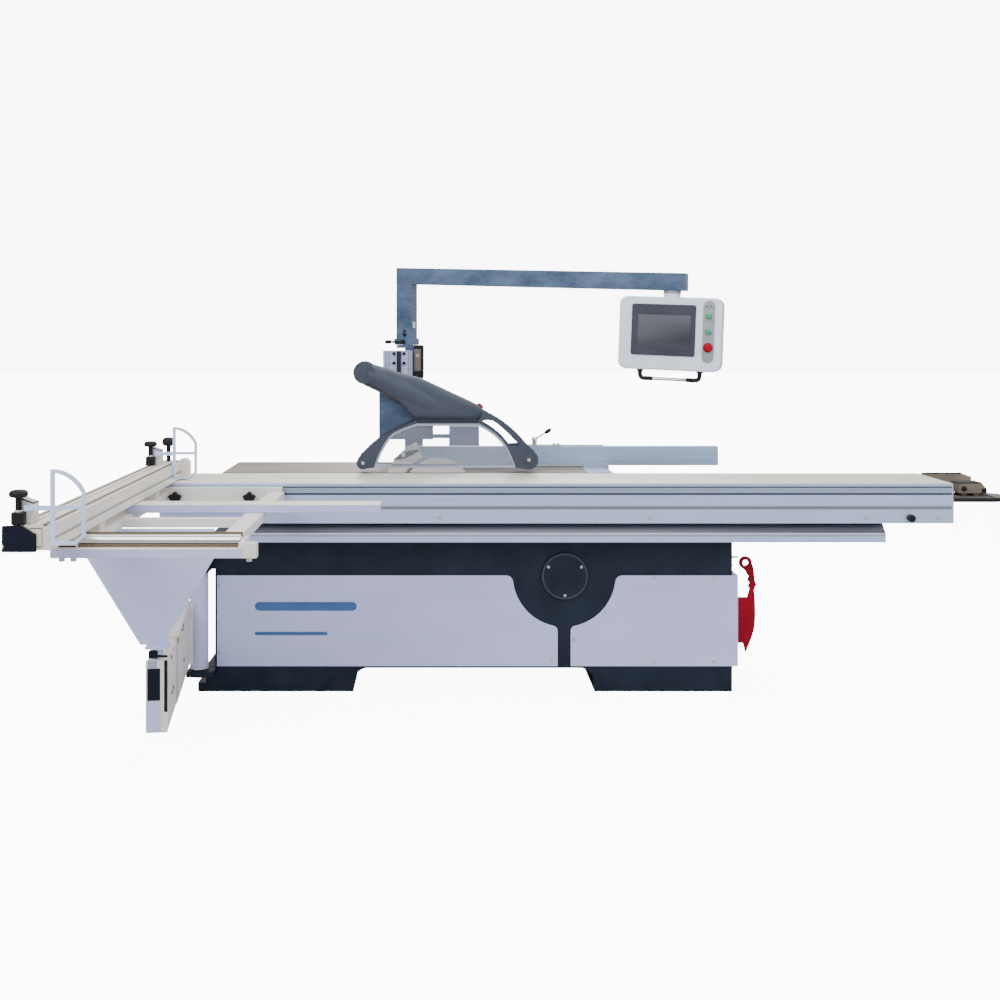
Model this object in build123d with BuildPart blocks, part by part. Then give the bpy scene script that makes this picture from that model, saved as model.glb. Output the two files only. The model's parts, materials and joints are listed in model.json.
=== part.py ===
"""Sliding table panel saw, in millimetres.

Frame: origin on the floor at the centre of the floor bolts, +X along the sliding
table towards the operator, +Y across the machine towards the rip fence, +Z up.
"""
import math
import os
from build123d import *

# Driving dimensions
TABLE_Z = 870.0                    # working height
BASE_X, BASE_Y = 1085.0, 350.0     # half length and half depth of the base
PLINTH_Z, PANEL_Z, BASE_TOP = 105.0, 479.0, 632.0
WALL = 8.0                         # base plate thickness
LEFT_END, LEDGE_Z = -1047.0, 505.0  # left wall, set in behind the swing arm, and the ledge over it
BOLT_X, BOLT_Y, BOLT_R = 2060.0, 600.0, 8.5
TUBE_Y = -450.0                    # front face of the sliding table
SLIDE_X = (-1250.0, 1950.0)        # sliding table length of 3200
BLADE_X, BLADE_Y, BLADE_Z, BLADE_R = -129.0, -78.0, 788.0, 150.0
KERF = 3.2
SCORE_X, SCORE_Z, SCORE_R = 106.0, 812.0, 60.0
DISC = (394.0, 477.0)              # centre of the round cover disc, X and Z
SCOOP_R = 212.0
HINGE_X, HINGE_Y = -1104.5, -390.0 # swing arm pivot on the base
ARM_END_Y, ARM_X = -1240.0, -1075.0
FENCE_X = (-1300.0, -1195.0)       # crosscut fence profile
FENCE_Y = (-1984.5, -275.0)
STOP_Y = (-1960.0, -445.0)         # the two flip stops along the fence
RAIL_TOP = 842.0                   # outrigger rails
RAIL_END = -1668.0
RIP_Y, RIP_X = 170.0, (-270.0, 1145.0)
MAST_X, MAST_Y, MAST_TURN = -286.0, 700.0, 20.0
BEAM_LENGTH, BOX = 1387.0, 80.0
GUARD_Y = (-118.0, 34.0)
NECK_X, PANEL_W, PANEL_D = 1320.0, 469.0, 90.0  # pendant: place along the beam, width, depth

os.makedirs("parts", exist_ok=True)
mast_frame = Plane((MAST_X, MAST_Y, 0),
                   x_dir=(math.cos(math.radians(MAST_TURN)), -math.sin(math.radians(MAST_TURN)), 0),
                   z_dir=(0, 0, 1))


def finish(builder, name):
    """Label a finished piece and write it as its own STEP file."""
    builder.part.label = name
    export_step(builder.part, f"parts/{name}.step")


def finish_group(name, *builders):
    """Write separate solids that share a node as one STEP file."""
    group = Compound([solid for builder in builders for solid in builder.part.solids()])
    group.label = name
    export_step(group, f"parts/{name}.step")


def block(x, y, z, mode=Mode.ADD):
    """A box, each axis given as (low, high)."""
    with Locations(((x[0] + x[1]) / 2, (y[0] + y[1]) / 2, (z[0] + z[1]) / 2)):
        Box(x[1] - x[0], y[1] - y[0], z[1] - z[0], mode=mode)


def rod(centre, radius, length, axis="Z", mode=Mode.ADD):
    """A cylinder about its centre, along X, Y or Z."""
    turn = {"X": (0, 90, 0), "Y": (90, 0, 0), "Z": (0, 0, 0)}[axis]
    with Locations(Location(centre, turn)):
        Cylinder(radius, length, mode=mode)


def prism(plane, points, amount, mode=Mode.ADD, both=False):
    """A straight-sided outline on a plane, extruded."""
    with BuildSketch(plane) as outline:
        with BuildLine():
            Polyline(*points, close=True)
        make_face()
    extrude(outline.sketch, amount=amount, mode=mode, both=both)


def across(y):
    """A plane at depth y whose sketch axes are X and Z, facing -Y."""
    return Plane((0, y, 0), x_dir=(1, 0, 0), z_dir=(0, -1, 0))


def along(x):
    """A plane at x whose sketch axes are Y and Z, facing +X."""
    return Plane((x, 0, 0), x_dir=(0, 1, 0), z_dir=(1, 0, 0))


# ---------------------------------------------------------------- base and covers
with BuildPart() as base:
    block((-BASE_X, BASE_X), (-BASE_Y, BASE_Y), (0, BASE_TOP))
    block((-1165, -BASE_X), (-BASE_Y, -150), (LEDGE_Z, BASE_TOP))
    block((-1118, -BASE_X), (-BASE_Y, -BASE_Y + 120), (0, 37))
    # upper and lower lugs of the swing arm hinge
    block((-1165, -1060), (HINGE_Y - 40, -150), (LEDGE_Z + 1, BASE_TOP - 60))
    block((-1150, -1040), (HINGE_Y - 40, -BASE_Y + 20), (80, 104))
    block((-BASE_X + WALL, BASE_X - WALL), (-BASE_Y + WALL, BASE_Y - WALL), (PLINTH_Z, BASE_TOP - WALL),
          Mode.SUBTRACT)
    with BuildSketch(across(0)) as underpass:
        with BuildLine():
            Polyline((-477, 0), (-477, 97), (517, 97), (517, 0), close=True)
        make_face()
        fillet(underpass.vertices().group_by(Axis.Y)[-1], 60)
    extrude(underpass.sketch, amount=BASE_Y, both=True, mode=Mode.SUBTRACT)
    # openings: saw unit in the top, service openings front and back
    block((-430, 330), (-310, 250), (BASE_TOP - WALL, BASE_TOP), Mode.SUBTRACT)
    block((-985, 180), (-BASE_Y, -BASE_Y + WALL), (150, 460), Mode.SUBTRACT)
    block((620, 1020), (-BASE_Y, -BASE_Y + WALL), (150, 460), Mode.SUBTRACT)
    block((-900, 900), (BASE_Y - WALL, BASE_Y), (160, 560), Mode.SUBTRACT)
    with Locations((-780, 0, 0), (780, 0, 0)):
        Box(460, 640, 96, align=(Align.CENTER, Align.CENTER, Align.MIN), mode=Mode.SUBTRACT)
    with GridLocations(BOLT_X, BOLT_Y, 2, 2):
        Cylinder(BOLT_R, PLINTH_Z * 3, mode=Mode.SUBTRACT)
    rod((HINGE_X, HINGE_Y, 300), 12, 500, mode=Mode.SUBTRACT)
    block((-BASE_X, LEFT_END), (-BASE_Y, BASE_Y), (PLINTH_Z, LEDGE_Z), Mode.SUBTRACT)
    block((LEFT_END, LEFT_END + WALL), (-BASE_Y, BASE_Y), (PLINTH_Z, LEDGE_Z + WALL))
    block((-BASE_X, LEFT_END + WALL), (-BASE_Y, BASE_Y), (LEDGE_Z, LEDGE_Z + WALL))
finish(base, "base_body")

PANEL_T = 3.0
PANEL_Y = -BASE_Y - PANEL_T


def scooped_panel(x, corner):
    """A front panel with the round scoop for the disc and rounded corners beside it."""
    block(x, (PANEL_Y, -BASE_Y), (PLINTH_Z, PANEL_Z))
    rod((DISC[0] - 2, PANEL_Y, DISC[1] + 2), SCOOP_R, 4 * PANEL_T, "Y", Mode.SUBTRACT)
    edges = [e for e in part_edges() if abs(e.center().X - corner) < SCOOP_R]
    tops = [e for e in edges if e.center().Z > PANEL_Z - 10]
    sides = [e for e in edges if PLINTH_Z + 50 < e.center().Z < PANEL_Z - 10]
    fillet(tops, 30)
    fillet(sides, 22)


def part_edges():
    """Edges square to the front face of the part being built."""
    return BuildPart._get_context().edges().filter_by(Axis.Y)


with BuildPart() as left_panel:
    scooped_panel((LEFT_END + WALL, 365), 300)

with BuildPart() as right_panel:
    scooped_panel((418.5, 1107), 480)
finish_group("front_panels", left_panel, right_panel)

with BuildPart() as end_cover:
    block((BASE_X, 1109), (-BASE_Y - PANEL_T, BASE_Y), (PLINTH_Z, PANEL_Z))
    block((BASE_X, 1107), (-BASE_Y - PANEL_T, BASE_Y - 3), (PLINTH_Z + 2, PANEL_Z - 2), Mode.SUBTRACT)
    block((BASE_X, 1109), (-BASE_Y - PANEL_T, -BASE_Y), (PLINTH_Z, PANEL_Z), Mode.SUBTRACT)

with BuildPart() as rear_cover:
    block((-1000, 1000), (BASE_Y, BASE_Y + PANEL_T), (130, 590))
    rod((-520, BASE_Y, 300), 61, 20, "Y", Mode.SUBTRACT)
    for row in range(6):
        block((560, 860), (BASE_Y - 1, BASE_Y + 5), (300 + 30 * row, 310 + 30 * row), Mode.SUBTRACT)

with BuildPart() as access_disc:
    rod((DISC[0], -BASE_Y - 6, DISC[1]), 96, 12, "Y")
    chamfer(access_disc.faces().sort_by(Axis.Y)[0].edges(), 3)
finish(access_disc, "access_disc")

with BuildPart() as disc_screws:
    for angle in (30, 150, 270):
        turn = math.radians(angle)
        rod((DISC[0] + 78 * math.cos(turn), -BASE_Y - 14, DISC[1] + 78 * math.sin(turn)), 6, 4, "Y")

with BuildPart() as panel_screws:
    for x, z in ((761, 467), (1012, 470), (560, 328), (430, 214), (761, 122), (1009, 126),
                 (-1030, 440), (-1030, 160), (340, 130)):
        rod((x, PANEL_Y - 1.5, z), 5, 3, "Y")
finish_group("cover_screws", panel_screws, disc_screws)

with BuildPart() as dust_outlet:
    rod((-520, BASE_Y + 20, 300), 60, 100, "Y")
    rod((-520, BASE_Y + 20, 300), 57, 100, "Y", Mode.SUBTRACT)
    rod((-520, BASE_Y + PANEL_T + 2, 300), 75, 4, "Y")
    rod((-520, BASE_Y + PANEL_T + 2, 300), 57, 4, "Y", Mode.SUBTRACT)
finish_group("end_and_rear_covers", end_cover, rear_cover, dust_outlet)

with BuildPart() as arm_stop:
    block((-BASE_X - 3, -BASE_X), (-BASE_Y + 22, -BASE_Y + 70), (50, 104))
    rod((-1106, -BASE_Y + 40, 80), 9, 42, "X")
    rod((-1134, -BASE_Y + 40, 80), 15, 16, "X")
    fillet(arm_stop.faces().sort_by(Axis.X)[0].edges(), 4)

# push stick hanging flat on the operator end, lifted out of its pocket
HANG_Y = -200.0
with BuildPart() as push_stick:
    prism(across(HANG_Y), [(1163, 492), (1179, 455), (1194, 425), (1186, 362), (1170, 277), (1160, 179), (1177, 120),
                           (1206, 195), (1217, 300), (1213, 392), (1223, 411), (1214, 460), (1203, 500)], 5, both=True)
    rod((1177, HANG_Y, 503), 28, 10, "Y")
    rod((1177, HANG_Y, 503), 12, 12, "Y", Mode.SUBTRACT)
finish(push_stick, "push_stick")

with BuildPart() as push_stick_holder:
    block((1109, 1188), (HANG_Y - 12, HANG_Y + 12), (165, 355))
    block((1112, 1188), (HANG_Y - 7, HANG_Y + 7), (165, 355), Mode.SUBTRACT)
    rod((1115, HANG_Y, 527), 4, 60, "X")
finish(push_stick_holder, "push_stick_holder")

# ---------------------------------------------------------------- sliding table way
BEAM_X = (-1020.0, 1682.0)
with BuildPart() as fixed_beam:
    prism(along(BEAM_X[0]), [(-450, BASE_TOP), (-450, 667), (-411, 702), (-264, 702), (-334, BASE_TOP)],
          BEAM_X[1] - BEAM_X[0])
    prism(along(BEAM_X[0]), [(-438, 644), (-438, 662), (-405, 690), (-290, 690), (-336, 644)],
          BEAM_X[1] - BEAM_X[0], Mode.SUBTRACT)
    for x in (-700, 600):
        block((x - 60, x + 60), (-400, -350), (BASE_TOP, 645))

with BuildPart() as way_rods:
    for y in (-395, -290):
        rod(((BEAM_X[0] + BEAM_X[1]) / 2, y, 703.5), 1.5, BEAM_X[1] - BEAM_X[0], "X")
finish_group("fixed_beam", fixed_beam, way_rods)

with BuildPart() as roller_cage:
    block((-350, 1050), (-385, -300), (705.5, 707))
    for x in range(-300, 1050, 150):
        block((x - 8, x + 8), (-300, -299), (705.5, 707))
finish(roller_cage, "roller_cage")

GROOVES = (855.0, 825.0)
with BuildPart() as sliding_table:
    prism(along(SLIDE_X[0]), [(-450, 775), (-450, 870), (-90, 870), (-90, 864), (-140, 846), (-277, 709), (-446, 709),
                              (-446, 775)], SLIDE_X[1] - SLIDE_X[0])
    for z in GROOVES:
        block(SLIDE_X, (-450, -442), (z - 2, z + 2), Mode.SUBTRACT)
    # hollow chambers of the extrusion
    block(SLIDE_X, (-440, -330), (790, 862), Mode.SUBTRACT)
    block(SLIDE_X, (-322, -200), (790, 862), Mode.SUBTRACT)
    block(SLIDE_X, (-436, -335), (717, 782), Mode.SUBTRACT)
    block(SLIDE_X, (-327, -290), (717, 782), Mode.SUBTRACT)
    # clamping slot along the top
    block(SLIDE_X, (-262, -250), (862, 870), Mode.SUBTRACT)

with BuildPart() as table_skirt:
    prism(along(SLIDE_X[0]), [(-450.0, 709), (-450.0, 768), (-446, 774), (-446, 709)],
          SLIDE_X[1] - SLIDE_X[0])

with BuildPart() as skirt_bolts:
    for x in (-122, 730, 1601, 1894):
        with BuildSketch(across(-450)):
            with Locations((x, 733)):
                RegularPolygon(8, 6)
        extrude(amount=6)

with BuildPart() as end_plates:
    for x in (SLIDE_X[1], SLIDE_X[0] - 4):
        prism(along(x), [(-450, 709), (-450, 868), (-92, 868), (-92, 864), (-142, 846), (-277, 709)], 4)
finish_group("sliding_table", sliding_table, table_skirt, end_plates)

with BuildPart() as table_lock:
    rod((1780, -462, 731), 15, 24, "Y")
    chamfer(table_lock.faces().sort_by(Axis.Y)[0].edges(), 3)
finish(table_lock, "table_lock_knob")

with BuildPart() as end_tray:
    block((1954, 2110), (-450, -263), (796, 809))
    rod((2110, -356.5, 802.5), 93.5, 13)
    block((1954, 2145), (-438, -275), (802, 809), Mode.SUBTRACT)

with BuildPart() as tray_block:
    prism(across(-340), [(2023, 816), (2139, 816), (2139, 835), (2120, 857), (2023, 857)], -70)
    block((2040, 2060), (-330, -280), (806, 816))
    block((2090, 2110), (-330, -280), (806, 816))

with BuildPart() as tray_back_plate:
    prism(across(-126), [(1954, 830), (2170, 830), (2170, 860), (2130, 873), (1954, 873)], -8)
    block((1954, 1960), (-160, -126), (850, 866))
finish_group("end_tray", end_tray, tray_block, tray_back_plate)

# ---------------------------------------------------------------- main table and rip fence
TABLE_X, TABLE_Y = (-1070.0, 523.0), (-65.0, 375.0)
with BuildPart() as main_table:
    block(TABLE_X, TABLE_Y, (832, TABLE_Z))
    block((TABLE_X[0] + 12, TABLE_X[1] - 12), (TABLE_Y[0] + 14, TABLE_Y[1] - 12), (832, 858), Mode.SUBTRACT)
    for x in (-800, -500, 330):
        block((x - 6, x + 6), TABLE_Y, (832, 858))
    fillet(main_table.edges().filter_by(Axis.Z).group_by(Axis.Y)[-1], 12)
finish(main_table, "main_table")

with BuildPart() as table_supports:
    for x in (-940, 440):
        block((x - 40, x + 40), (60, 340), (BASE_TOP, BASE_TOP + 10))
        block((x - 6, x + 6), (60, 340), (BASE_TOP, 832))
        block((x - 40, x + 40), (60, 340), (820, 832))

with BuildPart() as fence_rail:
    block((523, 635), (-60, 430), (838, 870))
    block((540, 618), (-60, 430), (846, 862), Mode.SUBTRACT)
    block((635, 655), (-60, -40), (842, 866))
finish(fence_rail, "fence_rail")

with BuildPart() as rip_fence_bar:
    block(RIP_X, (RIP_Y, RIP_Y + 40), (876, 962))
    block(RIP_X, (RIP_Y + 4, RIP_Y + 36), (880, 958), Mode.SUBTRACT)
    block(RIP_X, (RIP_Y + 30, RIP_Y + 40), (914, 924), Mode.SUBTRACT)
finish(rip_fence_bar, "rip_fence_bar")

with BuildPart() as rip_fence_shoe:
    block((528, 630), (110, 270), (870.3, 876))
    block((280, 630), (RIP_Y + 40, RIP_Y + 52), (876, 966))
    block((280, 440), (RIP_Y, RIP_Y + 52), (962, 968))
    rod((312, RIP_Y + 20, 976), 11, 16)
    for x in (402, 420):
        rod((x, RIP_Y + 20, 972), 6, 8)
    block((635.4, 647), (150, 230), (845, 876))
    block((528, 647), (150, 230), (870.3, 876))
finish(rip_fence_shoe, "rip_fence_shoe")

with BuildPart() as rip_fence_lever:
    rod((312, RIP_Y + 20, 994), 12, 19)
    with Locations(Location((338, RIP_Y + 20, 1012), (0, 62, 0))):
        Cylinder(5, 62)
    with Locations(Location((366, RIP_Y + 20, 1027), (0, 62, 0))):
        Cylinder(9, 34)
finish(rip_fence_lever, "rip_fence_lever")

# ---------------------------------------------------------------- saw unit
PIVOT_Z = TABLE_Z                  # the blade tilts about the table surface
ARC_R = 330.0
SADDLE_X = (-360.0, 260.0)
MOTOR_Z, MOTOR_R = 500.0, 85.0

with BuildPart() as tilt_saddles:
    for x in SADDLE_X:
        block((x - 7, x + 7), (-300, 190), (PLINTH_Z, 620))
        block((x - 40, x + 40), (-300, 190), (PLINTH_Z, PLINTH_Z + 10))
        block((x - 7, x + 7), (-220, 120), (160, 440), Mode.SUBTRACT)
    rod((0, BLADE_Y, PIVOT_Z), ARC_R + 0.3, 3000, "X", Mode.SUBTRACT)
finish_group("support_castings", tilt_saddles, table_supports)

with BuildPart() as saw_trunnion:
    for x in SADDLE_X:
        prism(along(x - 7), [(BLADE_Y + r * math.cos(math.radians(a)), PIVOT_Z + r * math.sin(math.radians(a)))
                             for r, a in ((200, -58), (400, -58), (400, -84), (200, -84))], 14)
    rod((0, BLADE_Y, PIVOT_Z), ARC_R, 3000, "X", Mode.INTERSECT)
    block((SADDLE_X[0] - 7, SADDLE_X[1] + 7), (-18, 33), (612, 660))
    for x in (-235, -23):
        rod((x, 5, 735), 12, 170)
    block((92, 120), (-20, 30), (655, 790))
    rod((SCORE_X, -16, SCORE_Z), 16, 92, "Y")
    block((92, 120), (-20, 30), (780, 806))
    rod((SCORE_X, -16, SCORE_Z), 8.05, 92, "Y", Mode.SUBTRACT)
    block((120, 250), (20, 34), (662, 742))
    block((220, 250), (20, 34), (650, 742))
finish(saw_trunnion, "saw_trunnion")

with BuildPart() as lift_carriage:
    block((-265, 7), (-30, 40), (745, 806))
    for x in (-265, -18):
        block((x, x + 25), (40, 84), (745, 806))
    block((-265, 7), (84, 94), (440, 806))
    rod((BLADE_X, -15, BLADE_Z), 26, 90, "Y")
    rod((BLADE_X, 0, BLADE_Z), 15.05, 200, "Y", Mode.SUBTRACT)
    rod((BLADE_X, 90, MOTOR_Z), 15, 30, "Y", Mode.SUBTRACT)
    for x in (-235, -23):
        rod((x, 5, 775), 12.05, 80, mode=Mode.SUBTRACT)
    block((-345, -265), (-30, -18), (745, 800))
    block((-345, -300), (-76.75, -18), (745, 800))
finish(lift_carriage, "lift_carriage")

with BuildPart() as riving_knife:
    with BuildSketch(across(BLADE_Y - 1.25)) as knife:
        with Locations((BLADE_X, BLADE_Z)):
            Circle(235)
            Circle(164, mode=Mode.SUBTRACT)
        with BuildLine():
            Polyline((BLADE_X, BLADE_Z), (BLADE_X - 130, BLADE_Z + 300), (BLADE_X - 400, BLADE_Z + 300),
                     (BLADE_X - 400, BLADE_Z - 40), close=True)
        make_face(mode=Mode.INTERSECT)
        with Locations((-330, 773)):
            Rectangle(40, 50)
    extrude(amount=-2.5)

with BuildPart() as knife_bolt:
    rod((-280, BLADE_Y - 3.3, 950), 10, 4, "Y")
    rod((-325, BLADE_Y - 3.3, 775), 9, 4, "Y")
finish_group("riving_knife", riving_knife, knife_bolt)


def toothed_disc(centre, radius, teeth, bore):
    """A saw blade facing -Y with its hub bore and gullets."""
    with BuildSketch(across(BLADE_Y - KERF / 2)) as disc:
        with Locations(centre):
            Circle(radius - 3)
            with PolarLocations(radius - 4, teeth):
                Rectangle(8, 4.5)
            Circle(bore, mode=Mode.SUBTRACT)
    extrude(disc.sketch, amount=-KERF)


with BuildPart() as main_blade:
    toothed_disc((BLADE_X, BLADE_Z), BLADE_R, 48, 15)
finish(main_blade, "main_blade")

with BuildPart() as arbor:
    rod((BLADE_X, -3.5, BLADE_Z), 15, 177, "Y")
    rod((BLADE_X, BLADE_Y + 1.6 + 4, BLADE_Z), 40, 8, "Y")

with BuildPart() as flange:
    rod((BLADE_X, BLADE_Y - 1.6 - 2.5, BLADE_Z), 40, 5, "Y")
    rod((BLADE_X, BLADE_Y - 1.6 - 2.5, BLADE_Z), 15, 5, "Y", Mode.SUBTRACT)

with BuildPart() as arbor_nut:
    with BuildSketch(across(BLADE_Y - 6.6)):
        with Locations((BLADE_X, BLADE_Z)):
            RegularPolygon(20, 6)
            Circle(15, mode=Mode.SUBTRACT)
    extrude(amount=9)


def pulley(centre, radius, bore, y):
    """A grooved pulley on a Y axis."""
    rod((centre[0], (y[0] + y[1]) / 2, centre[1]), radius, y[1] - y[0], "Y")
    rod((centre[0], (y[0] + y[1]) / 2, centre[1]), radius + 5, y[1] - y[0] - 8, "Y", Mode.SUBTRACT)
    rod((centre[0], (y[0] + y[1]) / 2, centre[1]), radius - 5, y[1] - y[0], "Y")
    rod((centre[0], (y[0] + y[1]) / 2, centre[1]), bore, y[1] - y[0] + 2, "Y", Mode.SUBTRACT)


ARBOR_PULLEY, MOTOR_PULLEY = 35.0, 55.0
with BuildPart() as arbor_pulley:
    pulley((BLADE_X, BLADE_Z), ARBOR_PULLEY, 15, (56, 80))
finish_group("arbor_shaft", arbor, flange, arbor_nut, arbor_pulley)

with BuildPart() as motor_pulley:
    pulley((BLADE_X, MOTOR_Z), MOTOR_PULLEY, 12, (56, 80))
    rod((BLADE_X, 88, MOTOR_Z), 12, 64, "Y")
finish(motor_pulley, "motor_pulley")

with BuildPart() as drive_belt:
    for grow, mode in ((0, Mode.ADD), (-3.4, Mode.SUBTRACT)):
        with BuildSketch(across(61)) as loop:
            with Locations((BLADE_X, BLADE_Z)):
                Circle(ARBOR_PULLEY - 1.2 + grow)
            with Locations((BLADE_X, MOTOR_Z)):
                Circle(MOTOR_PULLEY - 1.2 + grow)
            make_hull()
        extrude(loop.sketch, amount=-14, mode=mode)
finish(drive_belt, "drive_belt")

with BuildPart() as motor:
    rod((BLADE_X, 197, MOTOR_Z), MOTOR_R, 206, "Y")
    with BuildSketch(across(120)) as fins:
        with Locations((BLADE_X, MOTOR_Z)):
            with PolarLocations(MOTOR_R, 24):
                Rectangle(12, 3)
    extrude(fins.sketch, amount=-150)
    rod((BLADE_X, 120, MOTOR_Z), 12.05, 60, "Y", Mode.SUBTRACT)
finish(motor, "motor")

with BuildPart() as scoring_blade:
    toothed_disc((SCORE_X, SCORE_Z), SCORE_R, 24, 8)

with BuildPart() as scoring_spindle:
    rod((SCORE_X, -22, SCORE_Z), 8, 124, "Y")
    rod((SCORE_X, BLADE_Y + 1.6 + 3, SCORE_Z), 20, 6, "Y")
finish_group("scoring_blade", scoring_blade, scoring_spindle)

with BuildPart() as scoring_motor:
    rod((185, 94, 700), 40, 120, "Y")
finish(scoring_motor, "scoring_motor")

# ---------------------------------------------------------------- swing arm
ARM_YAW = math.radians(7)          # the arm's bearing, to the right of straight forward
arm_frame = Plane((HINGE_X, HINGE_Y, 0), x_dir=(math.sin(ARM_YAW), -math.cos(ARM_YAW), 0), z_dir=(0, 0, 1))
ARM_LENGTH, ARM_SIDE, _ = tuple(arm_frame.to_local_coords(Vector(ARM_X, ARM_END_Y, 0)))
ARM_Z, ARM_HALF = (133.0, 378.0), 36.5


def arm_width(half):
    """Low and high sides of a box centred on the arm, which runs beside its hinge column."""
    return (ARM_SIDE - half, ARM_SIDE + half)



with BuildPart() as hinge_pin:
    rod((HINGE_X, HINGE_Y, 300), 12, 444)
    rod((HINGE_X, HINGE_Y, 76), 17, 8)
finish_group("arm_hinge_pin", hinge_pin, arm_stop)

with BuildPart(arm_frame) as swing_arm:
    rod((0, 0, 307), 37, 394)
    block((-30, 560), arm_width(ARM_HALF), ARM_Z)
    block((-30, 30), (ARM_SIDE + ARM_HALF, 0), ARM_Z)
    block((30, 560), arm_width(32.5), (137, 374), Mode.SUBTRACT)
    rod((0, 0, 307), 12.05, 400, mode=Mode.SUBTRACT)
finish(swing_arm, "swing_arm")

with BuildPart(arm_frame) as arm_slide:
    block((100, ARM_LENGTH + 20), arm_width(32), (137.5, 373.5))
    block((100, ARM_LENGTH + 12), arm_width(28), (142, 369), Mode.SUBTRACT)

with BuildPart(arm_frame) as arm_cap:
    block((ARM_LENGTH + 20, ARM_LENGTH + 26), arm_width(ARM_HALF), ARM_Z)
    fillet(arm_cap.edges().filter_by(Axis((0, 0, 0), arm_frame.x_dir)), 5)
finish_group("arm_slide", arm_slide, arm_cap)

# ---------------------------------------------------------------- outrigger
LEFT_RAIL, RIGHT_RAIL = (-1270.0, -1208.0), (-805.0, -743.0)
ROLLER_R = 20.0
with BuildPart() as clamp_beam:
    block((-1250, -754), (-495, -450), (796, 857))
    block((-1250, -754), (-491, -454), (800, 853), Mode.SUBTRACT)
    for x in (-1176, -880):
        rod((x, -493, 820), 7.05, 20, "Y", Mode.SUBTRACT)


def clamp_knob(x, name):
    """A five-lobed knob on its stud."""
    with BuildPart() as knob:
        rod((x, -517, 820), 20, 20, "Y")
        for lobe in range(5):
            turn = math.radians(72 * lobe + 18)
            rod((x + 18 * math.cos(turn), -517, 820 + 18 * math.sin(turn)), 8, 20, "Y")
        rod((x, -499, 820), 7, 20, "Y")
    finish(knob, name)


clamp_knob(-1176, "clamp_knob_left")
clamp_knob(-880, "clamp_knob_right")

with BuildPart() as outrigger:
    for x in (LEFT_RAIL, RIGHT_RAIL):
        end = -1700 if x == LEFT_RAIL else -1640
        block(x, (end, -495), (810, RAIL_TOP))
        block((x[0] + 4, x[1] - 4), (end, -495), (814, RAIL_TOP - 4), Mode.SUBTRACT)
    block((LEFT_RAIL[1], RIGHT_RAIL[0]), (-1200, -1160), (812, RAIL_TOP))
    block((-1280, -666), (-1730, -1695), (806, 833))
    block((-743, -708), (-1640, -1600), (810, RAIL_TOP))
    block((-720, -708), (-1730, -1600), (806, 850))
    block((-708, -666), (-1730, -1695), (806, 850))
    rod((-970, RAIL_END, 848), 6.05, 560, "X", Mode.SUBTRACT)
    block((-1222, -1208), (RAIL_END - 14, RAIL_END + 14), (RAIL_TOP, 862))
    rod((-1214, RAIL_END, 848), 6.05, 30, "X", Mode.SUBTRACT)

with BuildPart() as front_roller:
    rod((-964, RAIL_END, 848), ROLLER_R, 484, "X")
    rod((-964, RAIL_END, 848), 6, 508, "X")
finish(front_roller, "front_roller")

with BuildPart() as stock_bar:
    block((-1220, -329), (-1065, -963), (RAIL_TOP, TABLE_Z))
    block((-1220, -329), (-1059, -1018), (RAIL_TOP + 4, TABLE_Z - 4), Mode.SUBTRACT)
    block((-1220, -329), (-1010, -969), (RAIL_TOP + 4, TABLE_Z - 4), Mode.SUBTRACT)
    block((-1220, -329), (-1065, -1059), (852, 859), Mode.SUBTRACT)
finish(stock_bar, "stock_bar")

with BuildPart() as frame_bolts:
    for x in (-1250, -1215, -690):
        rod((x, -1712, 800), 9, 12)
finish_group("carriage_bolts", skirt_bolts, frame_bolts)

with BuildPart() as support_plate:
    prism(across(ARM_END_Y), [(-1327, 810), (-883, 810), (-883, 718), (-1042, 450), (-1042, 422), (-1134, 422),
                              (-1327, 735)], -8)
    block((-1320, -890), (ARM_END_Y, ARM_END_Y + 40), (804, 810))

with BuildPart() as pivot_pad:
    block((-1112, -1038), (ARM_END_Y - 24, ARM_END_Y + 32), (412, 422))
    rod((ARM_X, ARM_END_Y + 4, 397), 18, 30)
    rod((ARM_X, ARM_END_Y + 4, 385), 12, 8)
finish_group("support_plate", support_plate, pivot_pad)

# ---------------------------------------------------------------- crosscut fence
FENCE_Z = (875.0, 945.0)
with BuildPart() as crosscut_fence:
    block(FENCE_X, FENCE_Y, FENCE_Z)
    block((FENCE_X[0] + 6, FENCE_X[1] - 20), (FENCE_Y[0], -700), (881, 939), Mode.SUBTRACT)
    for x in (-1284, -1240, -1210):
        block((x - 5, x + 5), FENCE_Y, (942, 945), Mode.SUBTRACT)
    block((FENCE_X[1] - 5, FENCE_X[1]), FENCE_Y, (900, 908), Mode.SUBTRACT)
finish(crosscut_fence, "crosscut_fence")

with BuildPart() as fence_mounts:
    for y in (-1400, -640):
        block((-1262, -1216), (y - 30, y + 30), (RAIL_TOP, FENCE_Z[0]))
    block((FENCE_X[1], -1160), (-330, -285), (876, 957))
    chamfer(fence_mounts.edges().filter_by(Axis.Y).group_by(Axis.Z)[-1].sort_by(Axis.X)[-1:], 12)
finish_group("outrigger_frame", outrigger, clamp_beam, fence_mounts)

with BuildPart() as fence_extension:
    block((-1293.5, -1215.5), (-1985, -740), (881.5, 938.5))
    block((-1289, -1220), (-1985, -740), (886, 934), Mode.SUBTRACT)

with BuildPart() as fence_cap:
    prism(across(-1985), [(-1326, 878), (-1322, 872), (-1234, 872), (-1234, 922), (-1270, 944), (-1326, 944)], 12)
finish_group("fence_extension", fence_extension, fence_cap)


PIN_X, PIN_Z = -1259.0, 992.0       # hinge of the flip arms


def mushroom_knob(x, y, z, top):
    """A round-topped knob on a shaft, above the fence."""
    rod((x, y, (z + top) / 2 - 4), 8.8, top - z - 8)
    rod((x, y, top - 11), 26, 20)


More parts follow.
